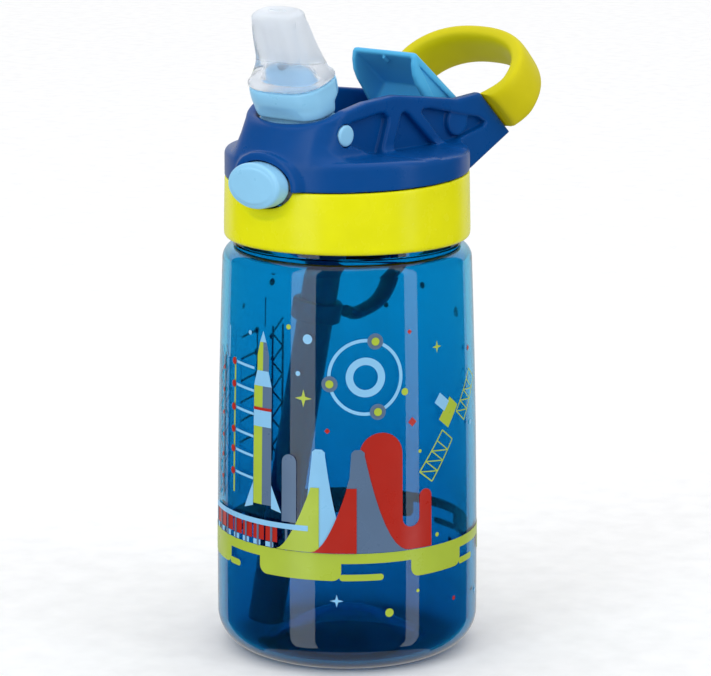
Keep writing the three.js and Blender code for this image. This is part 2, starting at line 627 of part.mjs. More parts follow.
function button() {
  const rim = 1.2;
  const cap = join(
    ovalY(BUTTON_WIDTH, BUTTON_HEIGHT, BUTTON_FACE_Y + rim, BUTTON_BACK_Y, BUTTON_Z),
    ovalY(BUTTON_WIDTH - 1.6, BUTTON_HEIGHT - 1.6, BUTTON_FACE_Y, BUTTON_FACE_Y + rim + 0.1, BUTTON_Z),
  );
  const hollowed = cut(cap, rodZ(BUTTON_HOLLOW, 120, 150, 64));
  return join(hollowed, box(-STEM.x, STEM.x, -BUTTON_HOLLOW - 0.5, STEM.back, STEM.bottom, STEM.top));
}

function latch() {
  const plateFront = STEM.back + GAP;
  const plateBack = plateFront + LATCH_PLATE;
  const inner = TOOTH_X - 1;
  const outer = TOOTH_X + 1;
  const arm = (side) => {
    const [from, to] = [side * inner, side * outer].sort((a, b) => a - b);
    return join(
      box(from, to, plateBack - 0.5, HOOK_Y + 1.8, LATCH_Z, LATCH_Z + 2),
      box(from, to, HOOK_Y, HOOK_Y + 1.8, LATCH_Z, HOOK_TOP_Z));
  };
  return join(box(-outer, outer, plateFront, plateBack, LATCH_Z, LATCH_TOP_Z), mirrored(arm));
}

add('button', PALE_BLUE, button());
add('latch', WHITE, latch());

function buttonSpring() {
  const { radius, wire: thick, z, turns } = BUTTON_SPRING;
  const end = GAP + 1.2 * thick;
  const from = STEM.back + GAP + LATCH_PLATE + end;
  const to = CHANNEL.front - end;
  return wire(new Path((t) => {
    const angle = 2 * Math.PI * turns * t;
    const along = from + (to - from) * t;
    return new THREE.Vector3(radius * Math.cos(angle), along, z + radius * Math.sin(angle));
  }), thick, turns * COIL_STEPS, 6);
}

add('button_spring', STEEL, buttonSpring());

// ---------------------------------------------------------------- straw and its keeper
add('straw', STRAW_BLUE, tubeZ(STRAW_RADIUS - STRAW_WALL, STRAW_RADIUS, 0, strawLength, 28), strawAxis);

function strawKeeper() {
  const clipZ = strawLength * 0.755;
  const bore = STRAW_RADIUS + 0.15;
  const clip = alongStraw(rodZ(STRAW_RADIUS + 1.9, clipZ - 2.8, clipZ + 2.8));
  const start = new THREE.Vector3(-3, -3, 95);
  const route = new THREE.CatmullRomCurve3([
    start, new THREE.Vector3(-1.6, 6, 93.2), new THREE.Vector3(0, 14, 96.5), new THREE.Vector3(0, 19.4, 104.5),
    new THREE.Vector3(0, 21, 114), new THREE.Vector3(0, 21.2, 123), new THREE.Vector3(0, 21.2, DECK_Z - GAP),
  ]);
  const arm = wire(route, 1.7, 20, 12, 3.4);
  return cut(join(clip, arm), alongStraw(rodZ(bore, clipZ - 12, clipZ + 12)));
}

add('straw_keeper', STRAW_BLUE, strawKeeper());

// ---------------------------------------------------------------- the part
const part = new THREE.Group();
part.add(model);
part.updateMatrixWorld(true);

export default part;
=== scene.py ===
"""A child's tinted drinking bottle with a flip-up spout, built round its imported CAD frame.

Sizes are in millimetres, with the bottle's axis on Z, the button at -Y and the carrying loop at +Y.
place() turns them into the frame's metres.
"""

import math

import bpy
import numpy as np
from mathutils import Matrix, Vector
from mathutils.geometry import delaunay_2d_cdt


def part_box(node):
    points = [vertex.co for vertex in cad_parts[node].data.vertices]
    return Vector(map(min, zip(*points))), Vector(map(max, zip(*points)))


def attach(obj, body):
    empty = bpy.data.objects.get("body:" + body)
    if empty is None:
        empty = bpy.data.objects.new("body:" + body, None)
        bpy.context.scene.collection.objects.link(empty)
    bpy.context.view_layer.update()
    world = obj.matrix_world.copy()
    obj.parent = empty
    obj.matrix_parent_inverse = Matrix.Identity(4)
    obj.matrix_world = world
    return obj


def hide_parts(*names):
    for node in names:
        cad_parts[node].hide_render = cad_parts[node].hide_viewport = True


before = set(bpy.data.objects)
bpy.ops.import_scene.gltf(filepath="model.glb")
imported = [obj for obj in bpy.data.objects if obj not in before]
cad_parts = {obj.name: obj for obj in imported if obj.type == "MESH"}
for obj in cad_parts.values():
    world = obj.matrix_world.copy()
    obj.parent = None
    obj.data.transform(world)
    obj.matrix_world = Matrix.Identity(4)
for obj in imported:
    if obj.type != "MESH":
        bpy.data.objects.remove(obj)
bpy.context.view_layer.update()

MM = 0.001
body_low, body_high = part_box("bottle_body")
AXIS_Y = (body_low.y + body_high.y) / 2 / MM       # the bottle's axis in the frame

# ------------ driving dimensions, as in the CAD
GAP = 0.3

BODY_RADIUS = 36.5
BODY_TAPER = 2.0
BODY_WALL = 1.9
FOOT_RADIUS = 10
RING_WIDTH = 4
DOME_HEIGHT = 8
SHOULDER_Z = 114.5
SHOULDER_ROUND = 4.5
NECK_RADIUS = 31
NECK_WALL = 1.8
NECK_TOP_Z = 128.5
THREAD_HEIGHT = 0.9
THREAD_PITCH = 4

COLLAR_BOTTOM_Z = 116.1
COLLAR_RADIUS = 34
COLLAR_BORE = 32.2
SEAM_Z = 133.7
SEAM_SLOPE = 0.033

SKIRT_RADIUS = 33.7
SKIRT_BORE = 31.7
FLOOR_BOTTOM_Z = 135.8
FLOOR_Z = 137.2
LEDGE_Z = 140.5
WALL_X = 17
WELL_X = 13.6
POCKET_X = 14.7
NOSE_RADIUS = 33.3
NOSE_TOP_RADIUS = 29.2
NOSE_TOP_Z = 150.2
NOSE_WALL = 2.2
SILL = (-28.4, 143)                # the well stops short of the button below this height

SPOUT_PIVOT = (-18.9, 147.2)
SPOUT_LEAN = math.radians(15)
SPOUT_HUB_RADIUS = 6
SPOUT_HUB_X = 10.2
TRUNNION_RADIUS = 2.95
DRINK_BORE = 2.4
TOOTH_X = 9.2
LIP_EDGE_Z = 14.1
LIP_EDGE_SLOPE = 0.06
CORE_TOP = 19.5

COVER_PIVOT = (28, 146.5)
COVER_OPEN = math.radians(38)
COVER_HALF = 11.8
COVER_WALL = 1.6
COVER_TOP = 7.8
COVER_KNUCKLE = 4.2
COVER_PIN_RADIUS = 1.6

BUTTON_Z = 134.15
BUTTON_WIDTH = 18.6
BUTTON_HEIGHT = 12.4
BUTTON_FACE_Y = -38.4
BUTTON_BACK_Y = -32.9
BUTTON_HOLLOW = 33.75
STEM_X = 4
STEM_BACK_Y = -29.9
STEM_LOW_Z = 133.3
STEM_HIGH_Z = 135.1

STRAW_RADIUS = 5
STRAW_WALL = 0.9
STRAW_TOP = Vector((0, -5.4, 125))
STRAW_FOOT = Vector((-17.2, -15.5, 6))
CLIP_SHARE = 0.755                 # how far up the straw its keeper holds it
CLIP_HEIGHT = 5.6

LOOP_ROOT = (42.5, 146.9)
LOOP_RISE = math.radians(43.7)
LOOP_LENGTH = 26.8
LOOP_ROOT_X = 18.2
LOOP_CROWN_X = 23.5
LOOP_LEG = 8.4
LOOP_ROOT_WIDTH = 14.8
LOOP_CROWN_WIDTH = 12.8
LOOP_THICK = 5

VIEW_TURN = math.radians(42)       # the camera stands this far round from the button towards +X

# spacing of the grids that the moulded shapes are drawn on
LID_STEP = 0.45
SPOUT_STEP = 0.35
BUTTON_STEP = 0.3


# ------------ materials
def linear(*rgb):
    """A colour as 0-255 display values, for a shader socket."""
    shares = [value / 255 for value in rgb]
    return tuple(c / 12.92 if c <= 0.04045 else ((c + 0.055) / 1.055) ** 2.4 for c in shares) + (1.0,)


class Material:
    """A Principled material with grain, mottled gloss and a faint drift of colour."""

    def __init__(self, name, colour, roughness, **sockets):
        self.material = bpy.data.materials.new(name)
        self.material.use_nodes = True
        self.nodes = self.material.node_tree.nodes
        self.links = self.material.node_tree.links
        self.shader = self.nodes["Principled BSDF"]
        self.colour = colour
        self.roughness = roughness
        self.shader.inputs["Base Color"].default_value = colour
        self.shader.inputs["Roughness"].default_value = roughness
        for socket, value in sockets.items():
            self.shader.inputs[socket.replace("_", " ")].default_value = value
        self.place = self.nodes.new("ShaderNodeTexCoord").outputs["Object"]

    def noise(self, size, detail=2):
        """A noise texture whose blotches are about size millimetres across."""
        node = self.nodes.new("ShaderNodeTexNoise")
        node.inputs["Scale"].default_value = 1 / (size * MM)
        node.inputs["Detail"].default_value = detail
        self.links.new(self.place, node.inputs["Vector"])
        return node.outputs["Fac"]

    def remap(self, source, from_low, from_high, low, high):
        """source, whose run between from_low and from_high is moved to low and high."""
        node = self.nodes.new("ShaderNodeMapRange")
        node.inputs["From Min"].default_value = from_low
        node.inputs["From Max"].default_value = from_high
        node.inputs["To Min"].default_value = low
        node.inputs["To Max"].default_value = high
        self.links.new(source, node.inputs["Value"])
        return node.outputs["Result"]

    def patches(self, size, detail, low, high):
        """A value that wanders from low to high over patches of size."""
        return self.remap(self.noise(size, detail), 0.3, 0.7, low, high)

    def upwards(self, low_z, high_z, low, high):
        """A value that runs from low to high between two heights."""
        place = self.nodes.new("ShaderNodeSeparateXYZ")
        self.links.new(self.place, place.inputs["Vector"])
        return self.remap(place.outputs["Z"], low_z * MM, high_z * MM, low, high)

    def blend(self, factor, low, high):
        """The colour runs from low to high as factor does from 0 to 1."""
        mix = self.nodes.new("ShaderNodeMix")
        mix.data_type = "RGBA"
        mix.inputs["A"].default_value = low
        mix.inputs["B"].default_value = high
        self.links.new(factor, mix.inputs["Factor"])
        self.links.new(mix.outputs["Result"], self.shader.inputs["Base Color"])

    def drift(self, size, amount):
        """The colour lightens and darkens by amount over patches of size."""
        darker = [c * (1 - amount) for c in self.colour[:3]]
        lighter = [min(1, c * (1 + amount)) for c in self.colour[:3]]
        self.blend(self.patches(size, 2, 0, 1), (*darker, 1), (*lighter, 1))
        return self

    def gloss(self, size, amount):
        """The roughness varies by amount over patches of size."""
        rough = self.patches(size, 4, self.roughness - amount, self.roughness + amount)
        self.links.new(rough, self.shader.inputs["Roughness"])
        return self

    def grain(self, size, height):
        """A fine moulded texture, height millimetres deep."""
        bump = self.nodes.new("ShaderNodeBump")
        bump.inputs["Strength"].default_value = 1
        bump.inputs["Distance"].default_value = height * MM
        self.links.new(self.noise(size), bump.inputs["Height"])
        self.links.new(bump.outputs["Normal"], self.shader.inputs["Normal"])
        return self


def plastic(name, colour, roughness, grain=(0.35, 0.004), **sockets):
    """Moulded plastic. grain is the size and depth of its texture."""
    made = Material(name, colour, roughness, **sockets)
    return made.drift(9, 0.03).gloss(5, 0.035).grain(*grain).material


def frosted():
    """Silicone that is milky at the mouth and clearer over the spout's dome."""
    dome_z, mouth_z = 164, 172
    made = Material("frosted_silicone", linear(246, 250, 255), 0.44, IOR=1.2)
    for socket, clear, milky in (("Transmission Weight", 0.85, 0.45), ("Roughness", 0.2, 0.44)):
        made.links.new(made.upwards(dome_z, mouth_z, clear, milky), made.shader.inputs[socket])
    return made.grain(9, 0.002).material


def tinted():
    """Clear tinted plastic, with painted shade that darkens it towards the foot."""
    foot_z, top_z = 5, 100
    # the foot's colour is painted shade, standing in for the dark that the thick base shows
    foot_painted_shade, top_tint = (0.01, 0.24, 0.5, 1), (0.02, 0.44, 0.69, 1)
    made = Material("tinted_plastic_painted_foot_shade", top_tint, 0.035, Transmission_Weight=1.0, IOR=1.5)
    made.blend(made.upwards(foot_z, top_z, 0, 1), foot_painted_shade, top_tint)
    return made.gloss(6, 0.015).grain(12, 0.01).material


BLUE = plastic("blue_satin_plastic", linear(0, 73, 144), 0.3, (0.3, 0.01), Specular_IOR_Level=0.2)
LIME = plastic("lime_gloss_plastic", linear(238, 236, 0), 0.26, (2, 0.004), Specular_IOR_Level=0.35)
GRIP = plastic("lime_soft_grip", linear(214, 202, 0), 0.5, (0.25, 0.02), Specular_IOR_Level=0.2)
PALE = plastic("pale_blue_plastic", linear(148, 210, 246), 0.3, (0.4, 0.006))
# The hood is the spout's pale blue plastic, painted deeper all over as painted shade for its shadowed
# inside.
HOOD_BLUE_PAINTED_SHADE = plastic("hood_blue_painted_shade", linear(84, 188, 238), 0.34, (0.4, 0.006), Specular_IOR_Level=0.3)
NAVY = plastic("navy_plastic", linear(8, 48, 104), 0.35)
WHITE = plastic("white_plastic", linear(216, 222, 228), 0.45)
STEEL = plastic("spring_steel", linear(190, 192, 196), 0.3, (0.15, 0.004), Metallic=1.0)
SILICONE = frosted()
TINTED_AND_SHADED = tinted()


# ------------ meshes
def place(points):
    """Millimetres round the bottle's axis, as the frame's metres."""
    return (np.asarray(points, float) + (0, AXIS_Y, 0)) * MM


def piece(name, points, faces, material, body, node=None, slot=None, sharp=40):
    """A smooth-shaded piece of the object that rides on a CAD body."""
    mesh = bpy.data.meshes.new(name)
    mesh.from_pydata(place(points), [], faces)
    mesh.polygons.foreach_set("use_smooth", [True] * len(mesh.polygons))
    mesh.set_sharp_from_angle(angle=math.radians(sharp))
    mesh.materials.append(material)
    obj = bpy.data.objects.new(name, mesh)
    bpy.context.scene.collection.objects.link(obj)
    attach(obj, body)
    if node:
        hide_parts(node)
    return obj


def grid_faces(rows, columns, closed=False):
    """Quads over rows of points that each close on themselves, and back to the first row if closed."""
    faces = []
    for row in range(rows if closed else rows - 1):
        near, far = row * columns, (row + 1) % rows * columns
        for i in range(columns):
            j = (i + 1) % columns
            faces.append((near + i, near + j, far + j, far + i))
    return faces


def lathe(profile, segments):
    """A closed profile of (radius, z) turned about Z. radius may be a function of the angle."""
    angles = np.linspace(0, 2 * math.pi, segments, endpoint=False)
    rings = []
    for radius, z in profile:
        r = radius(angles) if callable(radius) else np.full(segments, radius)
        rings.append(np.stack([r * np.cos(angles), r * np.sin(angles), np.full(segments, z)], 1))
    return np.concatenate(rings), grid_faces(len(rings), segments, closed=True)


def skin(rings):
    """Rings of points, skinned and closed at both ends."""
    count = len(rings[0])
    points = np.concatenate([*rings, [np.mean(rings[0], 0)], [np.mean(rings[-1], 0)]])
    faces = grid_faces(len(rings), count)
    start, end = len(points) - 2, len(points) - 1
    last = (len(rings) - 1) * count
    for i in range(count):
        j = (i + 1) % count
        faces.append((start, j, i))
        faces.append((end, last + i, last + j))
    return points, faces


def cord(route, half_thick, half_width):
    """An oval cord along a row of points, with its width across X."""
    route = np.asarray(route, float)
    along = np.gradient(route, axis=0)
    along /= np.linalg.norm(along, axis=1)[:, None]
    side = np.array((1.0, 0.0, 0.0))
    turns = np.linspace(0, 2 * math.pi, 24, endpoint=False)
    rings = []
    for centre, direction in zip(route, along):
        side = side - direction * np.dot(side, direction)
        side /= np.linalg.norm(side)
        other = np.cross(direction, side)
        wide = np.outer(half_width * np.cos(turns), side)
        rings.append(centre + wide + np.outer(half_thick * np.sin(turns), other))
    return skin(rings)


def joined(*parts):
    """Several (points, faces) as one."""
    points, faces = [], []
    for part_points, part_faces in parts:
        first = sum(map(len, points))
        points.append(np.asarray(part_points, float))
        faces += [tuple(first + i for i in face) for face in part_faces]
    return np.concatenate(points), faces


# ------------ moulded shapes, as distances
# Each shape is a function of x, y and z that is negative inside and positive outside.
def both(a, b, round_by):
    """Inside a and b, with the edge between them rounded."""
    share = np.clip(0.5 - 0.5 * (b - a) / round_by, 0, 1)
    return b + (a - b) * share + round_by * share * (1 - share)


def either(a, b, fillet):
    """Inside a or b, with a fillet between them."""
    return -both(-a, -b, fillet)


def less(a, b, round_by):
    """Inside a and outside b."""
    return both(a, -b, round_by)


def slab(t, low, high):
    """Between two parallel faces."""
    return np.abs(t - (low + high) / 2) - (high - low) / 2


def block(x, y, z, low, high, round_by=0.5):
    """A box between two corners."""
    shape = both(slab(x, low[0], high[0]), slab(y, low[1], high[1]), round_by)
    return both(shape, slab(z, low[2], high[2]), round_by)


def rod(a, b, radius, along, low, high, round_by=0.5):
    """A round rod. a and b run across it from its axis."""
    return both(np.hypot(a, b) - radius, slab(along, low, high), round_by)


def oval(a, b, half_a, half_b):
    """An ellipse, as a near distance."""
    stretch = np.sqrt((a / half_a) ** 2 + (b / half_b) ** 2) + 1e-9
    slope = np.sqrt((a / half_a**2) ** 2 + (b / half_b**2) ** 2) / stretch + 1e-9
    return (stretch - 1) / slope


def outline(u, v, corners):
    """Inside a closed polygon of (u, v) corners."""
    nearest = np.full(np.broadcast(u, v).shape, np.inf)
    inside = np.zeros(nearest.shape, bool)
    for (u0, v0), (u1, v1) in zip(corners, [*corners[1:], corners[0]]):
        du, dv = u1 - u0, v1 - v0
        share = np.clip(((u - u0) * du + (v - v0) * dv) / (du * du + dv * dv), 0, 1)
        nearest = np.minimum(nearest, (u - u0 - share * du) ** 2 + (v - v0 - share * dv) ** 2)
        if dv:
            inside ^= ((v0 > v) != (v1 > v)) & (u < du * (v - v0) / dv + u0)
    distance = np.sqrt(nearest)
    return np.where(inside, -distance, distance)


def seam(y, z, lift=0.0):
    """Negative below the seam between the collar and the shell."""
    return (z - SEAM_Z - lift - SEAM_SLOPE * y) / math.hypot(1, SEAM_SLOPE)


def turned(y, z, pivot, angle):
    """y and z seen by a piece drawn upright round its pivot and then turned about X by angle."""
    dy, dz = y - pivot[0], z - pivot[1]
    return dy * math.cos(angle) + dz * math.sin(angle), dz * math.cos(angle) - dy * math.sin(angle)


def surface(distance, low, high, step):
    """A closed mesh over the points where distance is zero, with one vertex in each cell it crosses."""
    low = np.asarray(low, float)
    ticks = [np.arange(a, b + step, step) for a, b in zip(low, high)]
    grid = np.meshgrid(*ticks, indexing="ij", sparse=True)
    shape = tuple(map(len, ticks))
    field = np.array(np.broadcast_to(distance(*grid), shape))
    inside = field < 0
    sums, counts = np.zeros((field.size, 3)), np.zeros(field.size)
    quads = []
    for axis in range(3):
        across = [(axis + 1) % 3, (axis + 2) % 3]
        near = np.take(inside, range(shape[axis] - 1), axis)
        far = np.take(inside, range(1, shape[axis]), axis)
        at = np.argwhere(near != far)
        start = field[tuple(at.T)]
        beyond = at.copy()
        beyond[:, axis] += 1
        end = field[tuple(beyond.T)]
        crossing = at.astype(float)
        crossing[:, axis] += start / (start - end)
        corners = []
        for back in ((0, 0), (1, 0), (1, 1), (0, 1)):
            cell = at.copy()
            cell[:, across] -= back
            flat = np.ravel_multi_index(tuple(cell.T), shape)
            for k in range(3):
                sums[:, k] += np.bincount(flat, crossing[:, k], field.size)
            counts += np.bincount(flat, minlength=field.size)
            corners.append(flat)
        quad = np.stack(corners, 1)
        quad[start > 0] = quad[start > 0][:, ::-1]
        quads.append(quad)
    used = np.flatnonzero(counts)
    number = np.zeros(field.size, int)
    number[used] = np.arange(len(used))
    points = low + step * sums[used] / counts[used, None]
    return settle(distance, points, step), number[np.concatenate(quads)].tolist()


def settle(distance, points, step):
    """Moves points onto the surface, which straightens its edges."""
    reach = 0.15 * step
    for _ in range(4):
        value = distance(*points.T)
        slope = np.stack([
            (distance(*(points + offset).T) - distance(*(points - offset).T)) / (2 * reach)
            for offset in reach * np.eye(3)
        ], 1)
        steepness = np.maximum((slope**2).sum(1), 0.05)
        move = -slope * (value / steepness)[:, None]
        points = points + np.clip(move, -0.4 * step, 0.4 * step)
    return points


def moulded(name, distance, low, high, step, *looks):
    """A piece whose surface is where distance is zero. looks are piece()'s last arguments."""
    points, faces = surface(distance, low, high, step)
    piece(name, points, faces, *looks)


# ------------ bottle
BARREL_TOP = SHOULDER_Z - SHOULDER_ROUND


def barrel_radius(z):
    """The bottle's outside radius at a height between its foot and its shoulder."""
    along = np.clip((z - FOOT_RADIUS) / (BARREL_TOP - FOOT_RADIUS), 0, 1)
    return BODY_RADIUS - BODY_TAPER * along**2


def arc(r, z, radius, start, end, steps):
    """Points round (r, z), between two angles in degrees."""
    turns = np.radians(np.linspace(start, end, steps))
    return [(r + radius * math.cos(t), z + radius * math.sin(t)) for t in turns]


def wall_profile(inset):
    """One side of the bottle's wall, from the middle of the base to the shoulder."""
    ring_out = BODY_RADIUS - FOOT_RADIUS
    ring_in = ring_out - RING_WIDTH
    dome = [(r, inset + DOME_HEIGHT * (1 - (r / ring_in) ** 2) ** 1.5)
            for r in np.linspace(0.2, ring_in, 24)]
    foot = arc(ring_out, FOOT_RADIUS, FOOT_RADIUS - inset, -90, 0, 24)
    barrel = [(barrel_radius(z) - inset, z) for z in np.linspace(FOOT_RADIUS, BARREL_TOP, 40)[1:]]
    shoulder_radius = float(barrel_radius(BARREL_TOP)) - SHOULDER_ROUND
    shoulder = arc(shoulder_radius, BARREL_TOP, SHOULDER_ROUND - inset, 4, 80, 12)
    return dome + foot + barrel + shoulder


def threaded(z):
    """The neck's outside radius at a height, as a function of the angle."""
    top = NECK_TOP_Z - 4

    def radius(angles):
        height = np.zeros(len(angles))
        for turn in (0, 1):
            along = angles / (2 * math.pi) + turn
            fade = np.clip(along * 20, 0, 1) * np.clip((1.25 - along) * 20, 0, 1)
            height += fade * np.clip(1.25 - np.abs(z - top + THREAD_PITCH * along) / THREAD_HEIGHT, 0, 1)
        return NECK_RADIUS + THREAD_HEIGHT * np.minimum(height, 1)

    return radius


def make_bottle():
    bore = NECK_RADIUS - NECK_WALL
    neck = [(threaded(z), z) for z in np.arange(SHOULDER_Z + 0.3, NECK_TOP_Z - 0.5, 0.3)]
    rim = [(NECK_RADIUS - 0.1, NECK_TOP_Z - 0.2), (NECK_RADIUS - 0.5, NECK_TOP_Z)]
    outer_side = [*wall_profile(0), (NECK_RADIUS + 0.5, SHOULDER_Z - 0.1), *neck, *rim]
    mouth = [(bore, SHOULDER_Z - 0.5), (bore, NECK_TOP_Z - 0.4), (bore + 0.4, NECK_TOP_Z)]
    inner_side = [*wall_profile(BODY_WALL), *mouth]
    points, faces = lathe([*outer_side, *inner_side[::-1]], 176)
    piece("bottle_shell", points, faces, TINTED_AND_SHADED, "bottle", "bottle_body", "tinted_plastic", sharp=50)


# ------------ lid: collar
def button_oval(x, z, grow):
    """Inside the button's oval, which is grown all round."""
    return oval(x, z - BUTTON_Z, BUTTON_WIDTH / 2 + grow, BUTTON_HEIGHT / 2 + grow)


def collar(x, y, z):
    """A plain ring, dished at the front round the button's lower half."""
    radius = np.hypot(x, y)
    ease = np.clip((z - 120) / 17, 0, 1)
    shape = both(radius - COLLAR_RADIUS + 0.4 * ease, COLLAR_BOTTOM_Z - z, 1.6)
    shape = both(shape, COLLAR_BORE - radius, 0.4)
    shape = both(shape, seam(y, z), 0.7)
    dish = both(oval(x, z - BUTTON_Z - 0.4, 12, 9.8), y + COLLAR_RADIUS - 1.1, 1.2)
    shape = less(shape, dish, 0.9)
    return less(shape, both(button_oval(x, z, GAP), y, 0.5), 0.4)


def make_collar():
    reach = COLLAR_RADIUS + 1
    moulded("collar_detail", collar, (-reach, -reach, 115), (reach, reach, 136.5), LID_STEP,
            LIME, "lid", "lid_collar", "lime_gloss_plastic")


# ------------ lid: shell
# Side views, as (y, z).
ARM_END = [(37, 153.4), (50.4, 141)]
WALL_OUTLINE = [
    (-36, 146.2), (-29.3, 149.4), (-24, 151.6), (-19, 153.8), (-10.6, 155.4), (0.8, 156.2), (3.4, 155.9),
    (13.6, 154.6), (27.3, 152.7), *ARM_END, (44.9, 138.3), (36.8, 134.3), (33, 132.4),
    (28, 134), (-36, 134),
]
POCKETS = [
    [(-17.1, 150.4), (-5.5, 151.9), (-3.5, 151.7), (-2, 150.4), (-2.1, 148.8), (-5, 140.8), (-8.3, 141.2),
     (-16.5, 144.3)],
    [(4.8, 151.2), (6.6, 150.4), (17.3, 141), (14.9, 140.6), (1.4, 140.7), (0.2, 141.5), (3.4, 150.8)],
    [(12.4, 151.2), (15.4, 151.1), (36.5, 146.6), (39.3, 145), (38.4, 143.9), (25.7, 141), (22, 141),
     (20.8, 141.8), (11.9, 150.5)],
]
WELL_OUTLINE = [(-40, FLOOR_Z), (31, FLOOR_Z), (44, 140.6), (60, 144.8), (60, 170), (-40, 170)]


def nose(x, y, z, inset):
    """The cone round the front of the spout."""
    share = np.clip((z - LEDGE_Z) / (NOSE_TOP_Z - LEDGE_Z), 0, 1)
    cone = NOSE_RADIUS + (NOSE_TOP_RADIUS - NOSE_RADIUS) * share
    behind = np.maximum(y, 0)
    return np.hypot(x, np.minimum(y, 0)) - cone + inset - behind


def skirt(x, y, z):
    """The shell's low drum, with a raised border round the button."""
    radius = np.hypot(x, y)
    drum = both(radius - SKIRT_RADIUS, z - LEDGE_Z - 0.5, 2.2)
    border = both(button_oval(x, z, 2.6), radius - SKIRT_RADIUS - 1.2, 1.0)
    border = both(both(border, y + SKIRT_BORE - 3, 0.5), -seam(y, z, GAP), 0.4)
    return either(drum, border, 1.6)


def walls(x, y, z):
    """The nose and the two side walls, solid right across."""
    plan = both(np.abs(x) - WALL_X, nose(x, y, z, 0), 5)
    return both(outline(y, z, WALL_OUTLINE), plan, 1.2)


def well(x, y, z):
    """The room between the walls that the spout folds into."""
    plan = both(np.abs(x) - WELL_X, nose(x, y, z, NOSE_WALL), 5)
    room = both(outline(y, z, WELL_OUTLINE), plan, 1.0)
    return less(room, both(y - SILL[0], z - SILL[1], 0.6), 0.6)


def hollows(shape, x, y, z):
    """shape with the room for the neck, the collar and the button cut out of it."""
    radius = np.hypot(x, y)
    shape = less(shape, both(radius - SKIRT_BORE, z - FLOOR_BOTTOM_Z, 0.6), 0.4)
    shape = less(shape, both(radius - COLLAR_RADIUS - GAP, seam(y, z, GAP), 0.3), 0.4)
    return less(shape, both(button_oval(x, z, GAP), y + SKIRT_BORE - 1.5, 0.4), 0.7)


def shell(x, y, z):
    radius = np.hypot(x, y)
    side = np.abs(x)
    fillet = 2.4 + 3 * np.clip((-y - 8) / 14, 0, 1) + 5 * np.clip((y - 20) / 12, 0, 1)
    fillet = fillet * np.clip((SKIRT_RADIUS - radius) / 3, 0.12, 1)
    shape = less(either(skirt(x, y, z), walls(x, y, z), fillet), well(x, y, z), 1.1)
    for corners in POCKETS:
        shape = less(shape, both(outline(y, z, corners), POCKET_X - side, 0.8), 0.9)
    shape = hollows(shape, x, y, z)
    boss = rod(y - COVER_PIVOT[0], z - COVER_PIVOT[1], 4.3, side, POCKET_X - 0.5, 16.3, 0.8)
    shape = either(shape, boss, 0.6)
    spout_hole = np.hypot(y - SPOUT_PIVOT[0], z - SPOUT_PIVOT[1]) - TRUNNION_RADIUS - GAP
    shape = less(shape, spout_hole, 0.3)
    pin_hole = rod(y - COVER_PIVOT[0], z - COVER_PIVOT[1], COVER_PIN_RADIUS + GAP, side, 0, WELL_X + 1.9)
    return less(shape, pin_hole, 0.3)


def make_shell():
    reach = SKIRT_RADIUS + 1.5
    moulded("shell_detail", shell, (-reach, -reach - 1, 131), (reach, 52, 158), LID_STEP,
            BLUE, "lid", "lid_shell", "dark_blue_plastic")


# ------------ lid: carrying loop
def bent(value, power):
    """A sine or cosine for a rounded square, which is squarer as power grows."""
    return np.sign(value) * np.abs(value) ** (2 / power)


def loop_line():
    """The middle of the loop, as (x, height up the loop): a leg, the crown and the other leg."""
    root_x = LOOP_ROOT_X - LOOP_THICK / 2
    half_span = LOOP_CROWN_X - LOOP_THICK / 2
    arch = LOOP_LENGTH - LOOP_THICK / 2 - LOOP_LEG
    heights = np.linspace(-2, LOOP_LEG, 14)[:-1]
    spread = np.sin(math.pi / 2 * np.clip(heights / LOOP_LEG, 0, 1))
    leg = np.stack([root_x + (half_span - root_x) * spread, heights], 1)
    turns = np.linspace(0, math.pi, 81)
    crown_x, crown_rise = (bent(wave(turns), 2.3) for wave in (np.cos, np.sin))
    crown = np.stack([half_span * crown_x, LOOP_LEG + arch * crown_rise], 1)
    return np.concatenate([leg, crown, leg[::-1] * (-1, 1)])


def cut_at_arms(points):
    """Points past the arms' slanted ends, slid up the loop until they clear the ends."""
    top, bottom = np.array(ARM_END)
    slope = (bottom - top) / np.linalg.norm(bottom - top)
    out = np.array([-slope[1], slope[0]])
    rise = np.array([math.cos(LOOP_RISE), math.sin(LOOP_RISE)])
    short = np.maximum(GAP - (points[:, 1:] - top) @ out, 0)
    points[:, 1:] += short[:, None] * rise / (rise @ out)
    return points


def make_loop():
    """Drawn with +Z along the loop's rise and +Y across its width, then turned and cut to fit."""
    line = loop_line()
    along = np.gradient(line, axis=0)
    along /= np.linalg.norm(along, axis=1)[:, None]
    turns = np.linspace(0, 2 * math.pi, 56, endpoint=False)
    thick = LOOP_THICK / 2 * bent(np.cos(turns), 3.4)
    wide = bent(np.sin(turns), 3.4) / 2
    rings = []
    for (across, height), (out_z, out_x) in zip(line, along):
        width = LOOP_ROOT_WIDTH + (LOOP_CROWN_WIDTH - LOOP_ROOT_WIDTH) * height / LOOP_LENGTH
        rings.append(np.stack([across + out_x * thick, width * wide, height - out_z * thick], 1))
    points, faces = skin(rings)
    x, y, z = points.T
    s, c = math.sin(LOOP_RISE), math.cos(LOOP_RISE)
    points = np.stack([x, y * s + z * c + LOOP_ROOT[0], z * s - y * c + LOOP_ROOT[1]], 1)
    piece("loop_detail", cut_at_arms(points), faces, GRIP, "lid", "handle_grip", "lime_soft_grip", sharp=60)


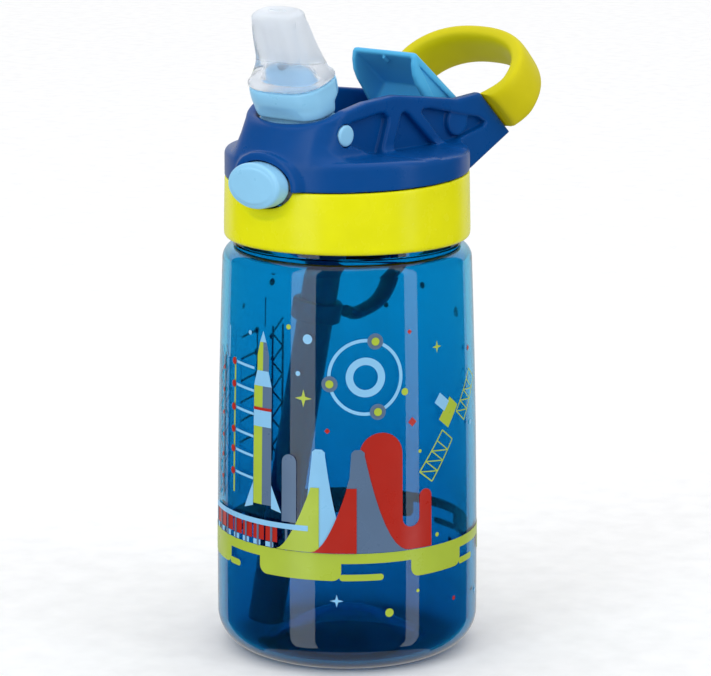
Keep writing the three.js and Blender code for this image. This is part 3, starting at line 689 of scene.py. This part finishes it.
# ------------ spout
# Heights, widths and reaches to the front and back up the spout, from its pivot.
SPOUT_RINGS = np.array([
    (5.2, 23.6, 6.6, 6.0), (7, 24.2, 7.2, 6.3), (8.2, 24.4, 7.4, 6.6), (9.6, 24.6, 7.8, 8.9),
    (12, 24.6, 8.1, 9.6), (14, 24.6, 7.8, 9.4), (15.6, 24, 6.9, 8.8), (17, 23, 5.4, 7.9),
    (19, 21.2, 4.2, 7.5), (21, 19.6, 4.2, 7.2), (24, 18.2, 4.8, 6.6), (28, 17.4, 5.1, 5.6),
    (31.5, 16.6, 5.1, 4.7), (33.4, 15.6, 4.7, 4.3), (34.2, 15.2, 4.5, 4.1),
]).T
FLUTE_SPACING = 5.2
FLUTE_DEPTH = 0.5
LATCH_TOOTH_TURN = math.radians(20)


def smooth_row(z, heights, sizes):
    """Sizes between the listed heights, on a smooth curve."""
    slopes = np.gradient(sizes, heights)
    k = np.clip(np.searchsorted(heights, z) - 1, 0, len(heights) - 2)
    h = heights[k + 1] - heights[k]
    t = np.clip((z - heights[k]) / h, 0, 1)
    start, end = sizes[k], sizes[k + 1]
    return (start * (1 + 2 * t) * (1 - t) ** 2 + slopes[k] * h * t * (1 - t) ** 2
            + end * t * t * (3 - 2 * t) + slopes[k + 1] * h * t * t * (t - 1))


def rounded(x, y, width, front, back, power=2.8):
    """A rounded rectangle round the Z axis, as a near distance."""
    reach = np.where(y < 0, front, back)
    stretch = ((np.abs(x) / width * 2) ** power + (np.abs(y) / reach) ** power + 1e-9) ** (1 / power)
    return (stretch - 1) * np.minimum(width / 2, reach)


def spout_skin(x, y, z, flutes=True):
    """The outside of the spout's base and mouthpiece together."""
    heights, *sizes = SPOUT_RINGS
    width, front, back = [smooth_row(z, heights, row) for row in sizes]
    shape = rounded(x, y, width, front, back)
    if flutes:
        fade = np.clip((z - 20) / 2, 0, 1) * np.clip((33 - z) / 3, 0, 1) * (np.abs(x) < 1.5 * FLUTE_SPACING)
        shape = shape + FLUTE_DEPTH * fade * (1 - np.cos(2 * math.pi * x / FLUTE_SPACING)) / 2
    shape = both(shape, heights[0] - z, 0.6)
    return both(shape, z - heights[-1], 1.6)


def spout_core(x, y, z, grow):
    """The base's dome, which stands up inside the mouthpiece."""
    ease = np.clip((z - 13) / (CORE_TOP - 13), 0, 1) ** 2
    half = 3.5 + grow - 1.1 * ease
    shape = rounded(x, y, 17 + 2 * grow - 4 * ease, half, half, 2.4)
    return both(both(shape, z - CORE_TOP - grow, 2.4), 8 - z, 0.3)


def above_edge(y, z):
    """Positive above the mouthpiece's lower edge."""
    return (z - LIP_EDGE_Z - LIP_EDGE_SLOPE * y) / math.hypot(1, LIP_EDGE_SLOPE)


def spout_base(x, y, z):
    y, z = turned(y, z, SPOUT_PIVOT, SPOUT_LEAN)
    side = np.abs(x)
    shape = both(spout_skin(x, y, z, flutes=False), above_edge(y, z) + GAP, 0.5)
    thumb_dish = both(oval(y + 14.2, z - 5, 8.1, 6.4), side - 7.4 + 0.5 * np.maximum(z - 7, 0), 1.0)
    shape = less(shape, thumb_dish, 0.8)
    side_groove = both(np.abs(y - 5.2) - 0.2, TOOTH_X - side, 0.2)
    shape = less(shape, side_groove, 0.25)
    neck = both(rounded(x, y, 2 * SPOUT_HUB_X, 4.7, 4.7), slab(z, 0, 5.5), 0.5)
    shape = either(shape, either(neck, spout_core(x, y, z, 0), 0.4), 0.6)
    hub = rod(y, z, SPOUT_HUB_RADIUS, x, -SPOUT_HUB_X, SPOUT_HUB_X, 0.5)
    trunnion = rod(y, z, TRUNNION_RADIUS, x, -WALL_X, WALL_X, 0.7)
    shape = either(shape, either(hub, trunnion, 0.3), 0.4)
    u, v = turned(y, z, (0, 0), LATCH_TOOTH_TURN)
    tooth = block(side, u, v, (TOOTH_X - 0.9, 0, -0.8), (TOOTH_X + 0.9, 7.6, 0.8), 0.3)
    shape = either(shape, tooth, 0.3)
    return less(shape, both(np.hypot(x, y) - DRINK_BORE, -z, 0.3), 0.5)


def mouthpiece(x, y, z):
    """A hollow fluted teat with a slit in its top, and a thin lip along its lower edge."""
    y, z = turned(y, z, SPOUT_PIVOT, SPOUT_LEAN)
    height = above_edge(y, z)
    lip = 0.3 * np.cos(math.pi / 2 * np.clip((height - 1) / 1.4, -1, 1)) ** 2
    shape = both(spout_skin(x, y, z) - lip, -height, 0.5)
    hollow = both(rounded(x, y, 13.4, 2.5, 2.5), slab(z, CORE_TOP - 1, 31.8), 1.5)
    shape = less(shape, either(spout_core(x, y, z, GAP), hollow, 1.0), 0.4)
    slit = both(np.abs(y) - 0.35, np.abs(x) - 3, 0.2)
    shape = less(shape, both(slit, 31 - z, 0.3), 0.3)
    nib = rod(x, z - 17.6, 0.9, y, 5.2, 7.0, 0.4)
    return either(shape, nib, 0.5)


def make_spout():
    moulded("spout_detail", spout_base, (-17.6, -33, 139), (17.6, -10, 168.5), SPOUT_STEP,
            PALE, "spout", "spout_body", "pale_blue_plastic")
    moulded("mouthpiece_detail", mouthpiece, (-13, -40, 156), (13, -12, 182), SPOUT_STEP,
            SILICONE, "spout", "mouthpiece", "clear_silicone")


# ------------ hood over the mouthpiece
def cover_side():
    """The hood's side view, closed, as (y, z) from its pivot."""
    crown = arc(0, 0, COVER_TOP, 90, 15, 16)
    knuckle = arc(0, 0, COVER_KNUCKLE, -15, -130, 12)
    cheek = [(-6.5, -1.6), (-12.6, 0.2), (-15.5, 0.9), (-18.4, 2.2), (-20.7, 4.3)]
    return [(-21.9, 6.4), (-21.9, COVER_TOP - 0.4), (-21.5, COVER_TOP), *crown, *knuckle, *cheek]


COVER_SIDE = cover_side()
COVER_GROOVE = [(-19.2, 5.6), (-1.5, 5.6), (-1.5, -1.2), (-8, 2.2)]


def hood(x, y, z):
    y, z = turned(y, z, COVER_PIVOT, -COVER_OPEN)
    side = np.abs(x)
    under = COVER_TOP - COVER_WALL
    cheeks = side - COVER_HALF + COVER_WALL
    shape = both(outline(y, z, COVER_SIDE), side - COVER_HALF, 1.5)
    mouth_room = both(both(y + 5.8, z - under, 1.2), cheeks, 1.0)
    shape = less(shape, mouth_room, 0.7)
    spring_room = both(both(-4.4 - y, np.hypot(y, z) - under, 0.8), cheeks, 0.6)
    shape = less(shape, spring_room, 0.4)
    groove = both(outline(y, z, COVER_GROOVE), COVER_HALF - 0.8 - side, 0.3)
    shape = less(shape, groove, 0.35)
    knuckle = rod(y, z, COVER_KNUCKLE, side, 6, COVER_HALF - 0.5, 0.4)
    shape = either(shape, knuckle, 0.4)
    rib = block(x, y, z, (-0.35, -21.2, under - 0.9), (0.35, -18.5, under + 0.5), 0.3)
    shape = either(shape, rib, 0.4)
    return less(shape, np.hypot(y, z) - COVER_PIN_RADIUS - 0.25, 0.3)


def make_hood():
    moulded("hood_detail", hood, (-13, 4, 141), (13, 38, 168), SPOUT_STEP,
            HOOD_BLUE_PAINTED_SHADE, "hood", "spout_cover", "pale_blue_plastic")


# ------------ button
def button(x, y, z):
    """A domed oval cap on a flat stem, hollowed to slide over the shell's drum."""
    cap = both(button_oval(x, z, 0), slab(y, BUTTON_FACE_Y + 0.5, BUTTON_BACK_Y), 1.2)
    crown = 0.5 * (x / 9) ** 2
    face = both(button_oval(x, z, -1.3), slab(y, BUTTON_FACE_Y + crown, BUTTON_BACK_Y), 0.6)
    shape = less(either(cap, face, 0.3), np.hypot(x, y) - BUTTON_HOLLOW, 0.3)
    stem_low = (-STEM_X, -BUTTON_HOLLOW - 0.5, STEM_LOW_Z)
    stem = block(x, y, z, stem_low, (STEM_X, STEM_BACK_Y, STEM_HIGH_Z), 0.4)
    return either(shape, stem, 0.4)


def make_button():
    moulded("button_detail", button, (-10.5, -39.5, 127), (10.5, -29, 141.5), BUTTON_STEP,
            PALE, "button", "button", "pale_blue_plastic")


# ------------ straw and its keeper
def smooth_route(corners, steps=12):
    """A smooth curve through the corners."""
    corners = np.asarray(corners, float)
    padded = np.concatenate([[2 * corners[0] - corners[1]], corners, [2 * corners[-1] - corners[-2]]])
    route = []
    for k in range(1, len(padded) - 2):
        a, b, c, d = padded[k - 1:k + 3]
        for t in np.linspace(0, 1, steps, endpoint=False):
            route.append(0.5 * (2 * b + (c - a) * t + (2 * a - 5 * b + 4 * c - d) * t * t
                                + (3 * b - a - 3 * c + d) * t**3))
    return [*route, corners[-1]]


def on_straw(points):
    """Points drawn with Z up the straw from its foot, moved to where it is."""
    along = (STRAW_TOP - STRAW_FOOT).normalized()
    turn = Vector((0, 0, 1)).rotation_difference(along).to_matrix()
    return np.asarray(points) @ np.array(turn).T + np.array(STRAW_FOOT)


def make_straw():
    length = (STRAW_TOP - STRAW_FOOT).length
    outer, inner = STRAW_RADIUS, STRAW_RADIUS - STRAW_WALL
    edge = 0.2
    rises = np.linspace(2, length - 2, 20)
    profile = [
        (inner + edge, 0), (outer - edge, 0), (outer, edge), *[(outer, z) for z in rises],
        (outer, length - edge), (outer - edge, length), (inner + edge, length), (inner, length - edge),
        *[(inner, z) for z in rises[::-1]], (inner, edge),
    ]
    points, faces = lathe(profile, 64)
    piece("straw_detail", on_straw(points), faces, NAVY, "lid", "straw", "navy_plastic", sharp=60)


def make_keeper():
    """A clip round the straw, and an oval arm from it up to the lid."""
    middle = (STRAW_TOP - STRAW_FOOT).length * CLIP_SHARE
    low, high = middle - CLIP_HEIGHT / 2, middle + CLIP_HEIGHT / 2
    bore, out = STRAW_RADIUS + 0.15, STRAW_RADIUS + 1.9
    edge = 0.4
    clip_points, clip_faces = lathe([(bore, low), (out - edge, low), (out, low + edge),
                                     (out, high - edge), (out - edge, high), (bore, high)], 64)
    route = smooth_route([(-2.8, 2.6, 94), (-1.6, 6, 93.2), (0, 14, 96.5), (0, 19.4, 104.5),
                          (0, 21, 114), (0, 21.2, 123), (0, 21.2, 130.3)])
    keeper = joined((on_straw(clip_points), clip_faces), cord(route, 1.7, 3.4))
    piece("keeper_detail", *keeper, NAVY, "lid", "straw_keeper", "navy_plastic", sharp=50)


# ------------ print on the bottle's side
# Shapes are outlines of (s, z): s runs round the side from the camera's side and grows to its right.
INK_RADIUS = 36
INK_THICK = 0.03
LAYER_STEP = 0.05
SHEET_STEP = 1.5                   # the longest straight side of a shape, so that it bends with the bottle

LIME_INK = plastic("lime_ink", linear(176, 198, 62), 0.3)
RED_INK = plastic("red_ink", linear(184, 36, 22), 0.3)
PALE_INK = plastic("pale_ink", linear(140, 200, 240), 0.3)
GREY_INK = plastic("grey_ink", linear(92, 116, 146), 0.3)
INK_BACK = plastic("ink_back", linear(3, 26, 62), 0.5)

# The layers of ink in printing order, from the bottle outwards.
LAYERS = {
    "lime": LIME_INK, "red": RED_INK, "pale": PALE_INK, "grey": GREY_INK, "grey_top": GREY_INK,
    "lime_top": LIME_INK, "pale_top": PALE_INK, "red_top": RED_INK, "lights": LIME_INK,
}


def rectangle(s0, s1, z0, z1):
    return [(s0, z0), (s1, z0), (s1, z1), (s0, z1)]


def disc(s, z, radius, steps=28):
    return arc(s, z, radius, 0, 360, steps + 1)[:-1]


def hoop(s, z, radius, width):
    """A ring, as its outline and its hole."""
    return [disc(s, z, radius + width / 2, 56), disc(s, z, radius - width / 2, 48)]


def pill(s0, s1, z0, z1, corners=(1, 1, 1, 1)):
    """A rectangle with the wanted corners rounded as far as they go, from the lower left anticlockwise."""
    radius = min(s1 - s0, z1 - z0) / 2
    points = []
    for k, (s, z) in enumerate(rectangle(s0, s1, z0, z1)):
        if corners[k]:
            middle = (s + (radius if s == s0 else -radius), z + (radius if z == z0 else -radius))
            points += arc(*middle, radius, 180 + 90 * k, 270 + 90 * k, 6)
        else:
            points.append((s, z))
    return points


def bar(start, end, width):
    """A straight line with a width."""
    (s0, z0), (s1, z1) = start, end
    length = math.hypot(s1 - s0, z1 - z0)
    ds, dz = (z0 - z1) / length * width / 2, (s1 - s0) / length * width / 2
    return [(s0 + ds, z0 + dz), (s1 + ds, z1 + dz), (s1 - ds, z1 - dz), (s0 - ds, z0 - dz)]


def star(s, z, reach):
    """Four points with hollow sides."""
    return [arc(s, z, reach * (0.3 if k % 2 else 1), 45 * k, 45 * k, 1)[0] for k in range(8)]


def panel(s, z, half_length, half_width, turn=math.radians(52)):
    """A rectangle round (s, z), with its length at an angle."""
    run, rise = half_length * math.cos(turn), half_length * math.sin(turn)
    return bar((s - run, z - rise), (s + run, z + rise), 2 * half_width)[::-1]


def between(start, end, share):
    return (start[0] + (end[0] - start[0]) * share, start[1] + (end[1] - start[1]) * share)


def flank(foot, top, hollow=2.2):
    """A hill's side, rising ever more steeply from its foot to its top."""
    run, rise = top[0] - foot[0], top[1] - foot[1]
    return [(foot[0] + run * t, foot[1] + rise * t**hollow) for t in np.linspace(0, 1, 10)]


def within(points, loops):
    """Whether each point is inside an odd number of loops."""
    s, z = np.asarray(points, float).T
    odd = np.zeros(len(s), bool)
    for loop in loops:
        loop = np.asarray(loop, float)
        for (s0, z0), (s1, z1) in zip(loop, np.roll(loop, -1, 0)):
            if z0 != z1:
                odd ^= ((z0 > z) != (z1 > z)) & (s < (s1 - s0) * (z - z0) / (z1 - z0) + s0)
    return odd


def divided(loop, step):
    """The loop with its long sides cut up."""
    points = []
    for (s0, z0), (s1, z1) in zip(loop, [*loop[1:], loop[0]]):
        parts = max(1, math.ceil(math.hypot(s1 - s0, z1 - z0) / step))
        points += [(s0 + (s1 - s0) * k / parts, z0 + (z1 - z0) * k / parts) for k in range(parts)]
    return points


def sheet(loops, layer):
    """A thin closed sheet on the bottle's side: its points, its outer faces and its inner ones."""
    loops = [divided(loop, SHEET_STEP) for loop in loops]
    points, edges = [], []
    for loop in loops:
        first = len(points)
        points += loop
        edges += [(first + i, first + (i + 1) % len(loop)) for i in range(len(loop))]
    low, high = np.min(points, 0), np.max(points, 0)
    columns = np.arange(low[0] + SHEET_STEP / 2, high[0], SHEET_STEP)
    grid = [(s, z) for s in columns for z in np.arange(low[1] + 2, high[1], 4)]
    if grid:
        grid = [spot for spot, keep in zip(grid, within(grid, loops)) if keep]
    flat, _, triangles, *_ = delaunay_2d_cdt([Vector(p) for p in [*points, *grid]], edges, [], 0, 1e-4)
    flat = np.array([tuple(p) for p in flat])
    middles = [flat[list(t)].mean(0) for t in triangles]
    triangles = [tuple(t) for t, keep in zip(triangles, within(middles, loops)) if keep]
    turn = VIEW_TURN + flat[:, 0] / INK_RADIUS
    shells = []
    for lift in (LAYER_STEP * layer, LAYER_STEP * layer + INK_THICK):
        r = np.array([barrel_radius(z) for z in flat[:, 1]]) + lift
        shells.append(np.stack([r * np.sin(turn), -r * np.cos(turn), flat[:, 1]], 1))
    count = len(flat)
    sides = dict.fromkeys(side for a, b, c in triangles for side in ((a, b), (b, c), (c, a)))
    rim = [(a, b, count + b, count + a) for a, b in sides if (b, a) not in sides]
    fronts = [tuple(count + i for i in t) for t in triangles]
    backs = [t[::-1] for t in triangles]
    return np.concatenate(shells), [*fronts, *rim], backs


def printed(name, look, layer, shapes):
    """One colour of ink. A shape is an outline, or a list of an outline and its holes."""
    sheets = [sheet([shape] if isinstance(shape[0], tuple) else shape, layer) for shape in shapes]
    points, fronts = joined(*[(points, fronts) for points, fronts, _ in sheets])
    _, backs = joined(*[(points, backs) for points, _, backs in sheets])
    obj = piece(name, points, [*fronts, *backs], look, "bottle")
    obj.data.materials.append(INK_BACK)
    for polygon in list(obj.data.polygons)[len(fronts):]:
        polygon.material_index = 1


def print_ground_band(ink):
    """A band right round the bottle, with rounded slots in its lower edge."""
    half_way = math.pi * INK_RADIUS
    low, middle, high = 27.4, 32.2, 35
    slots = [(-76, -62), (-38.4, -25.6), (-1.6, 17.9), (36.5, 52), (74, 92)]
    edges = [-half_way, *[s for slot in slots for s in slot], half_way]
    ink["lime"].append(rectangle(-half_way, half_way, middle, high))
    ink["lime"] += [pill(*ends, low, middle, (1, 1, 0, 0)) for ends in zip(edges[::2], edges[1::2])]
    ink["lime"] += [pill(start - 0.5, end - 8, low, 29.2) for start, end in slots]


def print_gantry(ink, shift):
    """A lattice tower with a mast beside it and arms that reach to the rocket."""
    left, right, mast = shift - 47.5, shift - 43.7, shift - 37
    ink["grey"] += [bar((s, 45), (s, 85), 0.7) for s in (right, left)]
    for k, z in enumerate(np.arange(45, 84, 4.2)):
        start, end = (right, left) if k % 2 else (left, right)
        ink["grey_top"].append(bar((start, z), (end, z + 4.2), 0.6))
    ink["lime"].append(bar((mast, 48), (mast, 85.5), 0.7))
    ink["pale"].append(bar((shift - 40.5, 85), (shift - 40.5, 93.8), 0.45))
    for z in (84.6, 78.3, 71.9, 65.7, 60.2, 54):
        ink["pale"].append(bar((shift - 36.2, z), (shift - 28.2, z - 0.6), 0.7))
        ink["red_top"] += [disc(mast, z, 1.0), disc(right, z - 3, 0.6)]


def print_rocket(ink, s):
    """A plain rocket, whose left half is lit and right half is in shade."""
    left, right = s - 3.1, s + 3.1
    ink["pale_top"] += [
        [(s, 94.6), (s - 1.1, 91.6), (s + 1.1, 91.6)],
        [(s - 2, 83.7), (s + 2, 83.7), (right, 79.5), (left, 79.5)],
        rectangle(left, right, 68.3, 72.8),
        [(s - 3.2, 52.5), (s - 3.2, 46), (s - 6.6, 44.9)],
        [(s + 3.2, 52.5), (s + 6.4, 45.2), (s + 3.2, 46)],
    ]
    ink["lime_top"] += [[(s, 91.6), (s, 83.7), (s - 2, 83.7), (s - 2, 88), (s - 1.1, 91.6)],
                        rectangle(left, s, 73.6, 79.5), rectangle(left, s, 46.7, 68.3)]
    ink["grey_top"] += [[(s, 91.6), (s + 1.1, 91.6), (s + 2, 88), (s + 2, 83.7), (s, 83.7)],
                        rectangle(s, right, 73.6, 79.5), rectangle(s, right, 46.7, 68.3)]
    ink["red_top"].append(rectangle(left, right, 72.8, 73.6))


def print_deck(ink):
    """The deck that the rocket stands on, with panels and posts under it."""
    ink["pale_top"].append(rectangle(-50, -10.6, 41, 42.5))
    for left in -50 + 4.4 * np.arange(7):
        ink["red"].append(rectangle(left, left + 3.8, 36.8, 41))
        ink["pale"].append(rectangle(left, left + 2.6, 35.2, 36.6))
    for post in -49.8 + 4.7 * np.arange(9):
        ink["grey_top"].append(bar((post, 35), (post, 41), 0.7))


def hill_top(s):
    return [(s, 63), (s - 0.9, 63.8), (s - 2.7, 63.8), (s - 3.6, 63)]


def print_hills(ink):
    """Two hills with hollow sides and flat tops, and a rounded one behind them."""
    foot, shade_top = 35.2, 53.2
    ink["grey"].append(pill(-18.3, -14, 43, 61.8, (0, 0, 1, 1)))
    left_side = flank((-15, 36), (-9.6, 62))
    ink["pale"].append([*flank((2, 36), (-6, 62)), *hill_top(-6.0), *left_side[::-1]])
    left_side = flank((-20, foot), (-10.1, 52.5), 1.6)
    ink["lime_top"].append([(-7.6, foot), (-7.6, shade_top), (-10, shade_top), *left_side[::-1]])
    dome = arc(9.3, 62.3, 6, 0, 180, 20)
    bowl = arc(17.9, 44.1, 2.6, 0, -180, 14)
    lobe = arc(22.5, 49.5, 2, 0, 180, 12)
    ink["red"].append([(1, foot), (24.5, foot), *lobe, *bowl, *dome])
    right_side = flank((17.5, foot), (4.7, 62))
    ink["grey_top"].append([(2.5, foot), *right_side, *hill_top(4.7), (0.6, 56), (-0.2, shade_top),
                            (2.5, shade_top)])
    left_side = flank((-9.8, foot), (-0.3, 52.5), 1.8)
    ink["red_top"].append([(2.5, foot), (2.5, shade_top), (-0.2, shade_top), *left_side[::-1]])


def print_moon(ink):
    """A ringed moon with three small lights on its ring."""
    ink["pale"] += [hoop(5, 83.6, 10, 0.9), hoop(5, 83.6, 4.4, 2)]
    for s, z in ((7.7, 93.3), (-4.8, 81.8), (8.3, 74.1)):
        ink["grey_top"].append(disc(s, z, 2.2))
        ink["lights"].append(disc(s, z, 1.1))


def print_satellite(ink):
    """A box between two lattice panels."""
    ink["lime_top"].append(panel(31.4, 71.3, 3.6, 2.3))
    ink["pale_top"].append(panel(28.6, 74.6, 1.6, 2.3))
    for s, z in ((26.6, 60), (41, 74.5)):
        a, b, c, d = panel(s, z, 6.6, 2.6)
        ink["lime_top"] += [bar(*side, 0.35) for side in ((a, b), (b, c), (c, d), (d, a))]
        for share in (0.25, 0.5, 0.75):
            start, end = between(a, b, share), between(d, c, share)
            ink["lime_top"] += [bar(start, end, 0.3), bar(start, between(d, c, share - 0.25), 0.3)]


def print_stars(ink):
    """Stars and specks of the sky, and a few in the ground below the band."""
    ink["lime"] += [star(27.2, 90, 1.7), star(-12.1, 77.5, 2.4)]
    ink["lime"] += [disc(*spot) for spot in (
        (-16.7, 96.6, 0.7), (20.8, 62.1, 0.5), (26.6, 37.9, 0.6), (11.5, 18, 1.2), (20, 23.2, 0.5),
        (16.2, 79, 1))]
    ink["pale"] += [disc(*spot) for spot in ((-11, 93.7, 1.35), (-13.7, 84.2, 0.7), (-30.1, 93.5, 0.6))]
    ink["pale"] += [star(-2.8, 21.8, 1.8), star(48.3, 16.9, 1.5), disc(44, 66, 0.7)]
    ink["red"] += [disc(*spot, 4) for spot in (
        (18.4, 70.5, 1.3), (17.8, 95.2, 0.7), (43.2, 87, 0.9), (-5.4, 68.9, 0.8))]
    ink["red"].append(disc(33.5, 18.4, 0.6))
    ink["lime"] += [disc(*spot, 16) for spot in (
        (70, 92, 1.6), (88, 97, 1), (101, 90, 0.8), (117, 96, 1.3), (138, 82, 0.9), (-88, 98, 1.1),
        (-74, 93, 0.8), (76, 24, 1), (120, 20, 1.2), (-96, 22, 1.1))]


def make_print():
    """A launch site, printed one colour at a time. A second gantry stands on the far side."""
    ink = {name: [] for name in LAYERS}
    print_ground_band(ink)
    print_gantry(ink, 0)
    print_gantry(ink, -45)
    print_rocket(ink, -24.8)
    print_deck(ink)
    print_hills(ink)
    print_moon(ink)
    print_satellite(ink)
    print_stars(ink)
    for layer, (name, look) in enumerate(LAYERS.items(), 1):
        printed(f"print_{name}", look, layer, ink[name])


# ------------ build
make_bottle()
make_collar()
make_shell()
make_loop()
make_spout()
make_hood()
make_button()
make_straw()
make_keeper()
make_print()

# The pieces inside the lid keep their CAD shapes.
INNER_LOOKS = (
    (WHITE, "inner_lid", "channel_cover", "latch"),
    (SILICONE, "lid_gasket", "vent_valve", "spout_seal"),
    (STEEL, "spout_spring_left", "spout_spring_right", "cover_pin", "cover_spring", "button_spring"),
)
for look, *nodes in INNER_LOOKS:
    for node in nodes:
        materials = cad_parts[node].data.materials
        materials.clear()
        materials.append(look)


# ------------ room, lights and camera
CAMERA_REACH = 850
CAMERA_Z = 266
CAMERA_TILT = 0.2076
CAMERA_LENS = 158.2
CAMERA_SHIFT = 0.0117
FLOOR_RADIUS = 3000
FLAG_REACH = 2200
FLAG_HALF_HEIGHT = 2600
FLAG_SPREAD = math.radians(132)
LIGHT_REACH = 1500
LIGHT_Z = 300
LIGHT_HEIGHT = 3000


def around(angle, reach, z):
    """The frame's point at an angle from the camera's side, which grows to the camera's right."""
    turn = VIEW_TURN + angle
    return Vector((reach * math.sin(turn), AXIS_Y - reach * math.cos(turn), z)) * MM


def stage_mesh(name, points, faces, material):
    """A piece of the room, from points in metres."""
    mesh = bpy.data.meshes.new(name)
    mesh.from_pydata([tuple(p) for p in points], [], faces)
    mesh.materials.append(material)
    obj = bpy.data.objects.new(name, mesh)
    bpy.context.scene.collection.objects.link(obj)
    return obj


def make_floor():
    rim = [(s * MM, z * MM, 0) for s, z in disc(0, 0, FLOOR_RADIUS, 64)]
    look = plastic("pale_floor", linear(250, 250, 251), 0.9)
    floor = stage_mesh("floor", rim, [tuple(range(len(rim)))], look)
    floor.visible_glossy = False
    floor.visible_diffuse = False


def make_flag():
    """A dark curved screen round the camera's side, seen only in reflections."""
    look = bpy.data.materials.new("dark_screen")
    look.use_nodes = True
    inputs = look.node_tree.nodes["Principled BSDF"].inputs
    inputs["Base Color"].default_value = (0.004, 0.004, 0.006, 1)
    inputs["Roughness"].default_value = 1.0
    turns = np.linspace(-FLAG_SPREAD, FLAG_SPREAD, 49)
    points = [around(t, FLAG_REACH, z) for t in turns for z in (-FLAG_HALF_HEIGHT, FLAG_HALF_HEIGHT)]
    faces = [(2 * i, 2 * i + 1, 2 * i + 3, 2 * i + 2) for i in range(len(turns) - 1)]
    flag = stage_mesh("dark_screen", points, faces, look)
    for kind in ("camera", "diffuse", "transmission", "shadow", "volume_scatter"):
        setattr(flag, f"visible_{kind}", False)


def strip_light(name, angle, width, power):
    """A tall softbox at an angle from the camera's side. Both are in degrees as the bottle sees it."""
    data = bpy.data.lights.new(name, "AREA")
    data.shape = "RECTANGLE"
    data.size = 2 * LIGHT_REACH * math.tan(math.radians(width) / 2) * MM
    data.size_y = LIGHT_HEIGHT * MM
    data.energy = power
    data.color = (0.82, 0.92, 1.0)
    lamp = bpy.data.objects.new(name, data)
    lamp.location = around(math.radians(angle), LIGHT_REACH, LIGHT_Z)
    target = Vector((0, AXIS_Y * MM, lamp.location.z))
    lamp.rotation_euler = (target - lamp.location).to_track_quat("-Z", "Y").to_euler()
    lamp.visible_camera = False
    bpy.context.scene.collection.objects.link(lamp)


def make_world():
    """A white room, brighter overhead and dim below the floor."""
    world = bpy.data.worlds.new("white_studio")
    bpy.context.scene.world = world
    world.use_nodes = True
    nodes, links = world.node_tree.nodes, world.node_tree.links
    direction = nodes.new("ShaderNodeTexCoord").outputs["Generated"]
    height = nodes.new("ShaderNodeSeparateXYZ")
    links.new(direction, height.inputs["Vector"])
    ramp = nodes.new("ShaderNodeValToRGB")
    links.new(height.outputs["Z"], ramp.inputs["Fac"])
    stops = ramp.color_ramp.elements
    floor, zenith, horizon = stops[0], stops[1], stops.new(0.25)
    for stop, rise, light in ((floor, 0, 0.55), (zenith, 1, 1), (horizon, 0.25, 0.85)):
        stop.position = rise
        stop.color = (light, light, light, 1)
    links.new(ramp.outputs["Color"], nodes["Background"].inputs["Color"])
    nodes["Background"].inputs["Strength"].default_value = 1.1


def make_camera():
    data = bpy.data.cameras.new("camera")
    data.sensor_width = 36
    data.lens = CAMERA_LENS
    data.shift_x = CAMERA_SHIFT
    data.clip_start = 0.05
    data.clip_end = 20
    camera = bpy.data.objects.new("camera", data)
    camera.location = around(0, CAMERA_REACH, CAMERA_Z)
    camera.rotation_euler = (math.pi / 2 - CAMERA_TILT, 0, VIEW_TURN)
    bpy.context.scene.collection.objects.link(camera)
    bpy.context.scene.camera = camera


make_floor()
make_flag()
make_world()
strip_light("left_strip", -39.5, 23, 13.5)
strip_light("right_strip", 59, 13, 7)
make_camera()
bpy.context.scene.view_settings.view_transform = "Standard"
